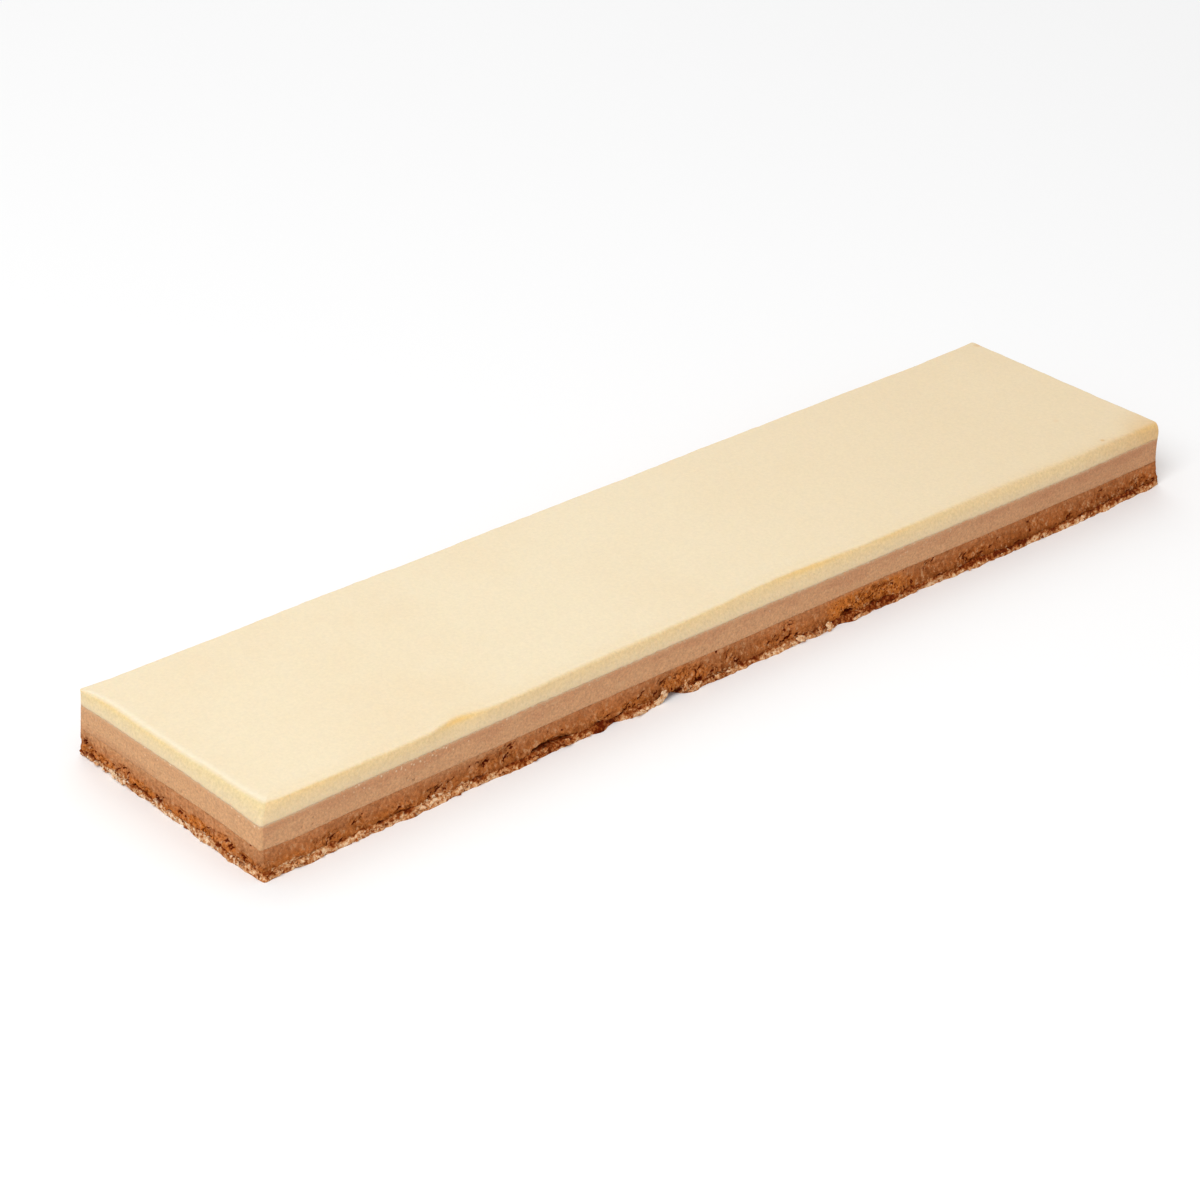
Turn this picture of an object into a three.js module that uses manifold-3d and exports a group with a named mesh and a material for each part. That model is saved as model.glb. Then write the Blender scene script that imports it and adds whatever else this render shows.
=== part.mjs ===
// A strip of layered semifreddo cake: a thin torn sponge base under a dark chocolate layer,
// a milk chocolate layer and a vanilla cream layer with a softly rounded top edge.
// Millimetres, +Z up, +X along the strip, -Y towards the front face.
// The origin lies on the resting plane, under the middle of the cake.

import * as THREE from 'three';
import { mergeVertices } from 'three/addons/utils/BufferGeometryUtils.js';
import Module from 'manifold-3d';

const wasm = await Module();
wasm.setup();

// Driving dimensions. Length and width hold at half height.
const cake = {
  length: 580,
  width: 133,
  height: 35,
  lean: 1.5, // each side leans in by this from the base to the top
  cornerRadius: 1.6, // plan radius of the four upright corners
  skew: 1.3, // the front lies this far to the right of square, and the back as far to the left
};

// The front was cut hollow along its length, from `footHeight` up. Its foot runs out at the `flares`, up to
// `flareHeight`. The right end is hollow next to the front, round the height `middle`.
const hollow = { depth: 2.2, middle: -20, reach: 255, footHeight: 10 };
const flares = [
  { at: -285, reach: 70, out: 1.2 },
  { at: 215, reach: 75, out: 2.2 },
];
const flareHeight = 13;
const endHollow = { depth: 1.3, reach: 40, middle: 17, halfHeight: 12 };

// Tops of the inner layers above the resting plane, wavy along the sides. On the two end faces they lie
// higher by `endLift`, which fades out within `liftReach` of the corners, and within `nearReach` of the near
// left corner by `nearLift`.
const spongeTop = { top: 3.7, wave: 0.6, waveStep: 11, seed: 3, endLift: 0, nearLift: 0, nearReach: 1 };
const darkTop = { top: 14.5, wave: 0.35, waveStep: 46, seed: 5, endLift: 1, nearLift: 0.8, nearReach: 20 };
const milkTop = { top: 26.9, wave: 0.3, waveStep: 58, seed: 7, endLift: 0.7, nearLift: -0.8, nearReach: 60 };
const liftReach = 25;

// The cream leans in above the milk layer, up to a shoulder that lies in from the side by `inset`. Its
// side is flat at a `bow` of 0 and upright until close to the top at 1. Lists of four go round the faces
// (front, right, back, left) or the corners (near left, front right, back right, back left). The insets at
// the corners are those of each face where it starts and where it ends.
const shoulder = {
  inset: [2.3, 0.2, 1.2, 1.9],
  wander: 0.35,
  step: 64,
  seed: 11,
  bow: [0.2, 0.6, 0.4, 0.2],
  cornerInset: [[3.2, 2.8], [0.3, 0], [0.2, 0.2], [-0.7, 4.1]],
  cornerBow: [0.2, 0.75, 0.6, 0.85],
  cornerReach: [14, 14, 14, 22],
};

// The front is wiped down more or less at these places, and the left end more towards the near corner.
const wiped = [
  { at: -182, reach: 12, more: 3.4 },
  { at: -175, reach: 75, more: -1.3 },
  { at: 20, reach: 42, more: 3.2 },
  { at: 190, reach: 90, more: 1.6 },
];
const wipedEnd = { from: -10, to: 45, more: 1.1 };

// The shoulder is softer towards the right end of the front, and bulges out round that end's corner.
const soft = { bow: 0.75, from: 60, to: 200 };
const overhang = { out: 0.8, reach: 35, height: 0.7 };

// Rounding of the shoulder: it starts at this share of the side and runs `radius` on along the top.
const edge = { start: 0.86, radius: 1, sideSteps: [0.35, 0.65], roundSteps: [0, 0.5, 1] };

// Slow unevenness of the knife-cut sides.
const cut = { slow: 0.25, slowStep: 92, slowSeed: 13, fine: 0.18, fineStep: 24, fineSeed: 14 };

// Roughness of the two lower layers. The rows lie at these shares of the layer's height.
const darkRough = { rows: [0.24, 0.5, 0.76], depth: 0.35, step: 7, seed: 30 };
const spongeRough = { rows: [0.36, 0.72], bulge: 0.7, step: 8, seed: 20 };

// The sponge's foot stands out by `mean`, more or less by `spread`, and draws in by `leftIn` towards the back
// of the left end. At its top the sponge draws in to a groove under the dark layer, which the tears deepen by
// a share of their own depth.
const foot = { mean: 0.3, spread: 0.8, step: 8, seed: 19, leftIn: 1.6, from: -50, to: 40 };
const groove = { depth: 0.4, tearShare: 0.5 };

// Places along the front where the sponge was torn away under the dark layer.
const gaps = [
  { at: -128, reach: 4, depth: 1.2 },
  { at: -89, reach: 5, depth: 2.6 },
  { at: -53, reach: 5.5, depth: 8 },
  { at: 58, reach: 5, depth: 1 },
];
const flakeGap = 0.5; // no flake grows where a gap is deeper than this
const cornerCalm = 0.4; // share of the roughness that the upright corners get

// Columns of facets round the cake. The two lower layers take all, the upper ones every second.
const columnCount = { long: 144, short: 34, corner: 2 };
const spineCount = 26; // steps along the middle line that the caps run down to

// Places where the knife tore the dark layer open: `at` runs along the face, `up` from the resting plane.
const frontTears = [
  { at: -253, up: 7, halfLength: 6, halfHeight: 3, depth: 1 },
  { at: -218, up: 3.4, halfLength: 9, halfHeight: 2.5, depth: 1.2 },
  { at: -192, up: 6.6, halfLength: 10, halfHeight: 3, depth: 1.5 },
  { at: -164, up: 8.9, halfLength: 6, halfHeight: 3.5, depth: 1.3 },
  { at: -126, up: 3.4, halfLength: 13, halfHeight: 4, depth: 2.4 },
  { at: -76, up: 5.5, halfLength: 9, halfHeight: 3, depth: 1.5 },
  { at: -45, up: 7.4, halfLength: 14, halfHeight: 6, depth: 0.9 },
  { at: 18, up: 5.4, halfLength: 12, halfHeight: 4, depth: 1.3 },
  { at: 62, up: 3.7, halfLength: 7, halfHeight: 4, depth: 2.2 },
  { at: 80, up: 6.6, halfLength: 18, halfHeight: 7, depth: 1 },
  { at: 104, up: 5.2, halfLength: 4.5, halfHeight: 5, depth: 1.2 },
  { at: 150, up: 6, halfLength: 11, halfHeight: 5, depth: 1.1 },
  { at: 219, up: 4.7, halfLength: 4.5, halfHeight: 3.5, depth: 1.3 },
  { at: 276, up: 6, halfLength: 9, halfHeight: 5, depth: 1.2 },
];
const endTears = [
  { at: 60, up: 7, halfLength: 6, halfHeight: 4.5, depth: 1.6 },
  { at: 31, up: 8, halfLength: 6, halfHeight: 3, depth: 1.1 },
  { at: 7, up: 5.5, halfLength: 5, halfHeight: 3, depth: 1.2 },
  { at: -9, up: 6.5, halfLength: 5, halfHeight: 3, depth: 1.2 },
  { at: -43, up: 8, halfLength: 7, halfHeight: 3.5, depth: 1.1 },
];

// Sponge flakes that stick out of the base: `root` deep in it and `reach` proud of it at a growth of 1.
const flake = {
  pitch: 21,
  length: 5.2,
  height: 2.7,
  reach: 1.1,
  root: 2.8,
  roofGap: 0.35,
  floorGap: 0.05,
  smallest: 0.7,
  largest: 1.2,
  jitter: 0.22,
  placeSeed: 400,
  growSeed: 500,
  shapeSeed: 600,
};
const largeFlakes = [
  { at: -149, grow: 1.5 },
  { at: -62, grow: 1.9 },
  { at: 28, grow: 1.6 },
  { at: 46, grow: 1.7 },
];

const { lerp, smoothstep } = THREE.MathUtils;
const quarterTurn = Math.PI / 2;
const halfLength = cake.length / 2;
const halfWidth = cake.width / 2;
const straightLength = cake.length - 2 * cake.cornerRadius;
const straightWidth = cake.width - 2 * cake.cornerRadius;
const cornerLength = cake.cornerRadius * quarterTurn;
const perimeter = 2 * (straightLength + straightWidth) + 4 * cornerLength;
const mergeDistance = 1e-4;

// The outline at half height, walked anticlockwise from the near left corner along the front face.
// A column has its face (0 front, 1 right, 2 back, 3 left) and that face's tears, its place, the outward
// and forward directions of the face, its distance `s` along the outline, its place `along` the face and
// its distance to the nearest corner. The back and the right face repeat the front's and the left's tears,
// turned half round.
function outlineColumns() {
  const faces = [
    { count: columnCount.long, direction: [1, 0], tears: frontTears, length: straightLength },
    { count: columnCount.short, direction: [0, 1], tears: endTears, length: straightWidth },
    { count: columnCount.long, direction: [-1, 0], tears: frontTears, length: straightLength },
    { count: columnCount.short, direction: [0, -1], tears: endTears, length: straightWidth },
  ];
  const columns = [];
  let s = 0;
  for (const [face, { count, direction, tears, length }] of faces.entries()) {
    const forward = new THREE.Vector2(...direction);
    const normal = new THREE.Vector2(forward.y, -forward.x);
    const middle = new THREE.Vector2(halfLength * normal.x, halfWidth * normal.y);
    const pointAt = (walked) => middle.clone().addScaledVector(forward, walked);
    const common = { face, tears, normal, forward };
    for (let i = 0; i <= count; i++) {
      const share = i / count;
      const walked = lerp(-length / 2, length / 2, share);
      columns.push({
        ...common,
        point: pointAt(walked),
        s: s + share * length,
        along: forward.y === 0 ? walked : -walked,
        share,
        toCorner: Math.min(share, 1 - share) * length,
        coarse: i % 2 === 0,
      });
    }
    s += length;

    const centre = pointAt(length / 2).addScaledVector(normal, -cake.cornerRadius);
    for (let i = 1; i < columnCount.corner; i++) {
      const turn = (quarterTurn * i) / columnCount.corner;
      const out = normal.clone().rotateAround(new THREE.Vector2(), turn);
      columns.push({
        ...common,
        point: centre.clone().addScaledVector(out, cake.cornerRadius),
        s: s + cake.cornerRadius * turn,
        along: length / 2,
        toCorner: 0,
        corner: true,
        coarse: true,
      });
    }
    s += cornerLength;
  }
  return columns;
}

const fineColumns = outlineColumns();
const coarseColumns = fineColumns.filter((column) => column.coarse);

// A repeatable number in 0..1 for a whole number.
function chance(n) {
  const value = Math.sin(n * 127.1 + 311.7) * 43758.5453;
  return value - Math.floor(value);
}

// Smooth unevenness in -1..1 along the outline, with about one swing every `step` millimetres.
function uneven(s, step, seed) {
  const knots = Math.round(perimeter / step);
  const place = (s / perimeter) * knots;
  const knot = Math.floor(place);
  const valueAt = (k) => 2 * chance((k % knots) + 1000 * seed) - 1;
  return lerp(valueAt(knot), valueAt(knot + 1), smoothstep(place - knot, 0, 1));
}

// The corner nearest to a column, counted from the near left one.
function nearestCorner({ face, share, corner }) {
  return (face + (corner || share > 0.5 ? 1 : 0)) % 4;
}

// Height of a layer's top at a column of the outline.
function topAt(layer, column) {
  const { s, face, toCorner } = column;
  let lift = face % 2 === 1 ? layer.endLift * smoothstep(toCorner, 0, liftReach) : 0;
  if (nearestCorner(column) === 0) {
    lift += layer.nearLift * (1 - smoothstep(toCorner, 0, layer.nearReach));
  }
  return layer.top + lift + layer.wave * uneven(s, layer.waveStep, layer.seed);
}

function hollowDepth({ face, along, share }, z) {
  if (face === 1) {
    const shape = Math.max(0, 1 - ((z - endHollow.middle) / endHollow.halfHeight) ** 2);
    return endHollow.depth * shape * (1 - smoothstep((share ?? 1) * straightWidth, 0, endHollow.reach));
  }
  if (face !== 0) {
    return 0;
  }
  const shape = Math.max(0, 1 - ((along - hollow.middle) / hollow.reach) ** 2);
  return hollow.depth * shape * Math.min(z / hollow.footHeight, 1);
}

function hump(value, at, reach) {
  return Math.exp(-(((value - at) / reach) ** 2));
}

function flareOut({ face, along }, z) {
  if (face !== 0) {
    return 0;
  }
  const most = flares.reduce((sum, { at, reach, out }) => sum + out * hump(along, at, reach), 0);
  return most * (1 - smoothstep(z, 0, flareHeight));
}

function sideCut(column, z) {
  const slow = cut.slow * uneven(column.s, cut.slowStep, cut.slowSeed);
  const fine = cut.fine * uneven(column.s, cut.fineStep, cut.fineSeed);
  return slow + fine + flareOut(column, z) - hollowDepth(column, z);
}

function tearDepth({ along, tears }, z) {
  let depth = 0;
  for (const tear of tears) {
    const reach = ((along - tear.at) / tear.halfLength) ** 2 + ((z - tear.up) / tear.halfHeight) ** 2;
    depth = Math.max(depth, tear.depth * (1 - reach));
  }
  return depth;
}

function gapDepth({ face, along }) {
  return face === 0 ? gaps.reduce((sum, { at, reach, depth }) => sum + depth * hump(along, at, reach), 0) : 0;
}

// A ring of wall points, one for each column, `out` millimetres proud of the leaning side. The columns of
// a face spread along it so that the faces still meet, and the corner rounds move with both of theirs.
function ring(columns, heightOf, outOf) {
  const heights = columns.map(heightOf);
  const outs = columns.map((column, i) => {
    return outOf(column, heights[i]) + cake.lean * (0.5 - heights[i] / cake.height);
  });
  const first = [];
  const last = [];
  columns.forEach(({ face, corner }, i) => {
    if (!corner) {
      first[face] ??= outs[i];
      last[face] = outs[i];
    }
  });
  return columns.map(({ face, point, normal, forward, share, corner, s }, i) => {
    const before = last[(face + 3) % 4];
    const after = first[(face + 1) % 4];
    const out = corner ? last[face] : outs[i];
    const slide = corner ? after : lerp(-before, after, share);
    const { x, y } = point.clone().addScaledVector(normal, out).addScaledVector(forward, slide);
    return { s, at: new THREE.Vector3(x, y, heights[i]) };
  });
}

// The middle line of the cake, walked there and back like a ring, so that a cap is a wall down to it.
function spine(height) {
  const reach = halfLength - halfWidth;
  const frontMiddle = straightLength / 2;
  const backMiddle = perimeter / 2 + frontMiddle;
  const there = [];
  const back = [];
  for (let i = 0; i <= spineCount; i++) {
    const x = lerp(-reach, reach, i / spineCount);
    const at = new THREE.Vector3(x, 0, height);
    there.push({ s: frontMiddle + x, at });
    back.unshift({ s: backMiddle - x, at });
  }
  return [...there, ...back];
}

// Triangles between two rings of any counts, always stepping along the ring that lags behind.
// They face outwards where `upper` lies above `lower`.
function zip(lower, upper) {
  const triangles = [];
  const pointAt = (points, i) => points[i % points.length].at;
  const distanceAt = (points, i) => points[i % points.length].s + perimeter * Math.floor(i / points.length);
  let i = 0;
  let j = 0;
  while (i < lower.length || j < upper.length) {
    const lowerLags = distanceAt(lower, i + 1) <= distanceAt(upper, j + 1);
    const stepLower = j >= upper.length || (i < lower.length && lowerLags);
    const next = stepLower ? pointAt(lower, i + 1) : pointAt(upper, j + 1);
    triangles.push([pointAt(lower, i), next, pointAt(upper, j)]);
    if (stepLower) {
      i += 1;
    } else {
      j += 1;
    }
  }
  return triangles;
}

// One closed layer: walls through all its rings from bottom to top, and a cap at each end.
function layerGeometry(rings, bottomSpine, topSpine) {
  const lowest = rings[0];
  const highest = rings[rings.length - 1];
  const triangles = zip(lowest, bottomSpine).map(([a, b, c]) => [a, c, b]);
  for (let i = 1; i < rings.length; i++) {
    triangles.push(...zip(rings[i - 1], rings[i]));
  }
  triangles.push(...zip(highest, topSpine));

  const loose = new THREE.BufferGeometry().setFromPoints(triangles.flat());
  const merged = mergeVertices(loose, mergeDistance);
  const index = [];
  for (let i = 0; i < merged.index.count; i += 3) {
    const [a, b, c] = merged.index.array.slice(i, i + 3);
    if (a !== b && b !== c && c !== a) {
      index.push(a, b, c);
    }
  }
  return merged.setIndex(index);
}

function solidOf(geometry) {
  const plain = geometry.clone().deleteAttribute('normal').deleteAttribute('uv');
  const merged = mergeVertices(plain, mergeDistance);
  const mesh = new wasm.Mesh({
    numProp: 3,
    vertProperties: new Float32Array(merged.attributes.position.array),
    triVerts: new Uint32Array(merged.index.array),
  });
  return new wasm.Manifold(mesh);
}

function geometryOf(solid) {
  const { vertProperties, triVerts } = solid.getMesh();
  return new THREE.BufferGeometry()
    .setAttribute('position', new THREE.BufferAttribute(vertProperties, 3))
    .setIndex(new THREE.BufferAttribute(triVerts, 1));
}

// Rings and middle lines that neighbouring layers share.
const floorSpine = spine(0);
const spongeSpine = spine(spongeTop.top);
const darkSpine = spine(darkTop.top);
const milkSpine = spine(milkTop.top);
const creamSpine = spine(cake.height);

const grooveOf = (column, z) => sideCut(column, z) - groove.depth - groove.tearShare * tearDepth(column, z);
const spongeRing = ring(fineColumns, (column) => topAt(spongeTop, column), grooveOf);
const darkRing = ring(fineColumns, (column) => topAt(darkTop, column), sideCut);
const milkRing = ring(coarseColumns, (column) => topAt(milkTop, column), sideCut);

// An angular sponge flake at a column: an icosahedron with each corner drawn in by chance.
function flakeSolid(column, grow, seed) {
  const geometry = new THREE.IcosahedronGeometry(0.5, 0);
  const position = geometry.attributes.position;
  const corner = new THREE.Vector3();
  for (let i = 0; i < position.count; i++) {
    corner.fromBufferAttribute(position, i);
    const key = Math.round(31 * corner.x + 57 * corner.y + 83 * corner.z);
    corner.multiplyScalar(1 - flake.jitter * chance(key + 97 * seed));
    position.setXYZ(i, corner.x, corner.y, corner.z);
  }
  const roof = topAt(spongeTop, column) - flake.roofGap;
  const height = Math.min(flake.height * grow, roof - flake.floorGap);
  const depth = flake.root + flake.reach * grow;
  const out = sideCut(column, 0) + depth / 2 - flake.root;
  const middle = column.point.clone().addScaledVector(column.normal, out);
  geometry.scale(flake.length * grow, depth, height);
  geometry.rotateZ(Math.atan2(column.normal.x, -column.normal.y));
  geometry.translate(middle.x, middle.y, flake.floorGap + height / 2);
  return solidOf(geometry);
}

function spongeBase() {
  const roughness = (column) => (column.corner ? cornerCalm : 1);
  const footing = (column, z) => {
    const swing = foot.spread * uneven(column.s, foot.step, foot.seed);
    const drawnIn = column.face === 3 ? foot.leftIn * smoothstep(column.along, foot.from, foot.to) : 0;
    return sideCut(column, z) + roughness(column) * (foot.mean + swing) - drawnIn - gapDepth(column);
  };
  const rings = [ring(fineColumns, () => 0, footing)];
  spongeRough.rows.forEach((share, row) => {
    const bulge = (column, z) => {
      const swing = spongeRough.bulge * uneven(column.s, spongeRough.step, spongeRough.seed + row);
      return sideCut(column, z) + roughness(column) * swing - gapDepth(column);
    };
    rings.push(ring(fineColumns, (column) => share * topAt(spongeTop, column), bulge));
  });
  rings.push(spongeRing);
  let solid = solidOf(layerGeometry(rings, floorSpine, spongeSpine));

  const straight = fineColumns.filter((column) => !column.corner);
  const nearest = (s) => straight.reduce((a, b) => (Math.abs(b.s - s) < Math.abs(a.s - s) ? b : a));
  const flakeCount = Math.floor(perimeter / flake.pitch);
  for (let i = 0; i < flakeCount; i++) {
    const s = (i + chance(i + flake.placeSeed)) * flake.pitch;
    const grow = lerp(flake.smallest, flake.largest, chance(i + flake.growSeed));
    if (gapDepth(nearest(s)) < flakeGap) {
      solid = solid.add(flakeSolid(nearest(s), grow, i + flake.shapeSeed));
    }
  }
  largeFlakes.forEach(({ at, grow }, i) => {
    const column = nearest(straightLength / 2 + at);
    solid = solid.add(flakeSolid(column, grow, i + flakeCount + flake.shapeSeed));
  });
  return geometryOf(solid);
}

function darkLayer() {
  const rings = [spongeRing];
  darkRough.rows.forEach((share, row) => {
    const heightOf = (column) => lerp(topAt(spongeTop, column), topAt(darkTop, column), share);
    const outOf = (column, z) => {
      const swing = darkRough.depth * uneven(column.s, darkRough.step, darkRough.seed + row);
      return sideCut(column, z) + swing - tearDepth(column, z);
    };
    rings.push(ring(fineColumns, heightOf, outOf));
  });
  rings.push(darkRing);
  return layerGeometry(rings, spongeSpine, darkSpine);
}

function milkLayer() {
  return layerGeometry([darkRing, milkRing], darkSpine, milkSpine);
}

// A value along a face that runs to another one at its corners.
function towardsCorner(even, cornerValue, column) {
  const reach = shoulder.cornerReach[nearestCorner(column)];
  return lerp(cornerValue, even, smoothstep(column.toCorner, 0, reach));
}

function shoulderInset(column) {
  const { s, face, along, share, corner } = column;
  let even = shoulder.inset[face] + shoulder.wander * uneven(s, shoulder.step, shoulder.seed);
  if (face === 0) {
    for (const { at, reach, more } of wiped) {
      even += more * hump(along, at, reach);
    }
  } else if (face === 3) {
    even += wipedEnd.more * smoothstep(-along, wipedEnd.from, wipedEnd.to);
  }
  const [atStart, atEnd] = shoulder.cornerInset[face];
  return towardsCorner(even, corner || share > 0.5 ? atEnd : atStart, column);
}

function shoulderBow(column) {
  const { face, along } = column;
  const softness = face === 0 ? smoothstep(along, soft.from, soft.to) : 0;
  const even = lerp(shoulder.bow[face], soft.bow, softness);
  return towardsCorner(even, shoulder.cornerBow[nearestCorner(column)], column);
}

function overhangAt({ face, share }) {
  return face === 1 ? overhang.out * (1 - smoothstep(share * straightWidth, 0, overhang.reach)) : 0;
}

// The cream's side is a quadratic curve from the milk layer to the shoulder. A second one rounds the
// shoulder off. A profile gives the rise of a ring above the milk layer and how far it lies in.
function creamLayer() {
  const shoulderOf = (column) => ({
    up: cake.height - topAt(milkTop, column),
    inset: shoulderInset(column),
    bow: shoulderBow(column),
  });
  const onSide = (t) => (column) => {
    const { up, inset, bow } = shoulderOf(column);
    const middle = t * (1 - t);
    return { up: up * (middle * (1 + bow) + t * t), inset: inset * (middle * (1 - bow) + t * t) };
  };
  const onRound = (t) => (column) => {
    const start = onSide(edge.start)(column);
    const { up, inset } = shoulderOf(column);
    const fromStart = (1 - t) ** 2;
    return {
      up: lerp(up, start.up, fromStart),
      inset: lerp(inset, start.inset, fromStart) + t * t * edge.radius,
    };
  };

  const rings = [milkRing];
  for (const profile of [...edge.sideSteps.map(onSide), ...edge.roundSteps.map(onRound)]) {
    const heightOf = (column) => topAt(milkTop, column) + profile(column).up;
    const outOf = (column, z) => {
      const share = profile(column).up / shoulderOf(column).up;
      const bulge = overhangAt(column) * smoothstep(share, 0, overhang.height);
      return sideCut(column, z) - profile(column).inset + bulge;
    };
    rings.push(ring(coarseColumns, heightOf, outOf));
  }
  return layerGeometry(rings, milkSpine, creamSpine);
}

const skewed = new THREE.Matrix4().makeShear(0, 0, -cake.skew / halfWidth, 0, 0, 0);

function piece(name, geometry, color, roughness) {
  const material = new THREE.MeshStandardMaterial({ color, roughness, metalness: 0, flatShading: true });
  const mesh = new THREE.Mesh(geometry.applyMatrix4(skewed), material);
  mesh.name = name;
  return mesh;
}

const semifreddo = new THREE.Group();
semifreddo.name = 'semifreddo_strip';
semifreddo.add(
  piece('sponge_base', spongeBase(), 0xcfa274, 0.9),
  piece('dark_layer', darkLayer(), 0x9c6138, 0.75),
  piece('milk_layer', milkLayer(), 0xc4946a, 0.65),
  piece('cream_layer', creamLayer(), 0xf3dfb4, 0.45),
);

export default semifreddo;
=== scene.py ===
import math
import bpy
import bmesh
import numpy as np
from mathutils import Matrix, Vector


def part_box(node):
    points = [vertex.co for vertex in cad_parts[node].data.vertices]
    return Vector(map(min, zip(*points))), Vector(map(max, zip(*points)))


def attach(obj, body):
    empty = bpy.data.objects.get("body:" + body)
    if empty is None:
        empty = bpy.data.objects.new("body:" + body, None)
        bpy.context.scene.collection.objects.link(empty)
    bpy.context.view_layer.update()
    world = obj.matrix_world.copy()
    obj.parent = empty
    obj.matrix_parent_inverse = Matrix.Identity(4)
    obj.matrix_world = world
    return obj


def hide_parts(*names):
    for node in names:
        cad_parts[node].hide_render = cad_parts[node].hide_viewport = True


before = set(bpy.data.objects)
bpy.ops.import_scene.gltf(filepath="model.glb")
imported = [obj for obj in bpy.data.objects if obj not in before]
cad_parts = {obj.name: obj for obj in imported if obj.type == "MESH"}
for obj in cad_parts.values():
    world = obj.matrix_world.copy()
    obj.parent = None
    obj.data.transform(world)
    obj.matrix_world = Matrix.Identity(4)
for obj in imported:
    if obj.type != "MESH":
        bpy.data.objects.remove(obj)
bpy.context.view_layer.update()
print("frame loaded:", ", ".join(sorted(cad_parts)))

mm = 0.001  # sizes below are in millimetres, meshes are in metres

cake = {
    "length": 580.0,  # length and width hold at half height
    "width": 133.0,
    "height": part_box("cream_layer")[1].z / mm,
    "lean": 1.5,  # each side leans in by this from base to top
    "cornerRadius": 1.6,
    "cornerSteps": 6,
    "skew": 1.3,  # the front lies this far to the right of square
    "spacing": 0.5,  # between the upright columns of the side meshes
}

# the front was cut hollow along its length and its foot runs out at the flares,
# and the right end is hollow near the front
hollow = {"depth": 2.2, "middle": -20, "reach": 255, "footHeight": 10}
flares = {"height": 13, "places": ((-285, 70, 1.2), (215, 75, 2.2))}  # along the front, reach, outwards
endHollow = {"depth": 1.3, "reach": 40, "middle": 17, "halfHeight": 12}

# slow unevenness of the knife-cut sides: size, step along the outline and seed, as everywhere below
sideCut = {"slow": (0.25, 92, 13), "fine": (0.18, 24, 14)}

# tops of the inner layers, wavy along the sides and frayed in patches by the knife,
# a little higher on the end faces and higher or lower at the near left corner
spongeTop = {"top": 3.7, "wave": (0.6, 11, 3), "fray": (0.5, 2.1, 63), "patches": (37, 53),
             "endLift": 0, "nearLift": 0, "nearReach": 1}
darkTop = {"top": 14.5, "wave": (0.35, 46, 5), "fray": (0.22, 1.7, 65), "patches": (37, 55),
           "endLift": 1, "nearLift": 0.8, "nearReach": 20}
milkTop = {"top": 26.9, "wave": (0.3, 58, 7), "fray": (0.34, 1.4, 67), "patches": (37, 57),
           "endLift": 0.7, "nearLift": -0.8, "nearReach": 60}
liftReach = 25  # the lift of the ends is full this far from the corners
leastFray = 0.35  # share of the fray that is left between the patches

halfLength = cake["length"] / 2
halfWidth = cake["width"] / 2
straightLength = cake["length"] - 2 * cake["cornerRadius"]
straightWidth = cake["width"] - 2 * cake["cornerRadius"]
cornerLength = cake["cornerRadius"] * math.pi / 2
perimeter = 2 * (straightLength + straightWidth) + 4 * cornerLength


def chance(n):  # a repeatable number in 0..1 for whole numbers
    value = np.sin(np.asarray(n) * 127.1 + 311.7) * 43758.5453
    return value - np.floor(value)


def smooth(t):
    t = np.clip(t, 0.0, 1.0)
    return t * t * (3 - 2 * t)


def between(low, high, share):
    return low + (high - low) * share


def hump(value, middle, reach):
    return np.exp(-((value - middle) / reach) ** 2)


def walkOutline():
    # anticlockwise from the near left corner: front, right, back and left face with their corners
    columns = []
    passed = 0.0
    radius, steps = cake["cornerRadius"], cake["cornerSteps"]
    sides = ((1, 0, straightLength), (0, 1, straightWidth), (-1, 0, straightLength), (0, -1, straightWidth))
    for face, (dx, dy, length) in enumerate(sides):
        nx, ny = dy, -dx
        count = round(length / cake["spacing"])
        for i in range(count + 1):
            walked = length * (i / count - 0.5)
            onward = walked if dy == 0 else -walked  # the back and the right face are turned half round
            columns.append((nx * halfLength + walked * dx, ny * halfWidth + walked * dy, nx, ny, dx, dy,
                            passed + walked + length / 2, onward, face, i / count,
                            length / 2 - abs(walked), 0))
        passed += length
        centre = Vector((nx * halfLength + length / 2 * dx, ny * halfWidth + length / 2 * dy))
        centre -= radius * Vector((nx, ny))
        for i in range(1, steps):
            turn = math.pi / 2 * i / steps
            out = Vector((nx * math.cos(turn) - ny * math.sin(turn),
                          nx * math.sin(turn) + ny * math.cos(turn)))
            edge = centre + radius * out
            columns.append((edge.x, edge.y, out.x, out.y, dx, dy,
                            passed + radius * turn, onward, face, 1.0, 0.0, 1))
        passed += cornerLength
    names = ("x", "y", "nx", "ny", "dx", "dy", "around", "along", "face", "share", "toCorner", "corner")
    return dict(zip(names, np.array(columns, dtype=float).T))


outline = walkOutline()
around, along = outline["around"], outline["along"]  # round the whole cake, and along the face
faceShare, toCorner = outline["share"], outline["toCorner"]
faceOf = outline["face"].astype(int)
atCorner = outline["corner"] > 0.5
onFront = faceOf == 0
onRight = faceOf == 1
onLeft = faceOf == 3
onLong = faceOf % 2 == 0
atFaceEnd = (faceShare > 0.5).astype(int)
nearestCorner = (faceOf + atFaceEnd) % 4  # counted from the near left one


def uneven(step, seed):  # smooth unevenness in -1..1 along the outline
    knots = round(perimeter / step)
    place = around / perimeter * knots
    knot = np.floor(place)
    low = chance(np.mod(knot, knots) + 1000 * seed)
    high = chance(np.mod(knot + 1, knots) + 1000 * seed)
    return 2 * between(low, high, smooth(place - knot)) - 1


def wobble(size, step, seed):
    return size * uneven(step, seed)


def humps(places):  # a sum of humps along the faces, each with its place, reach and size
    return sum(size * hump(along, at, reach) for at, reach, size in places)


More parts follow.
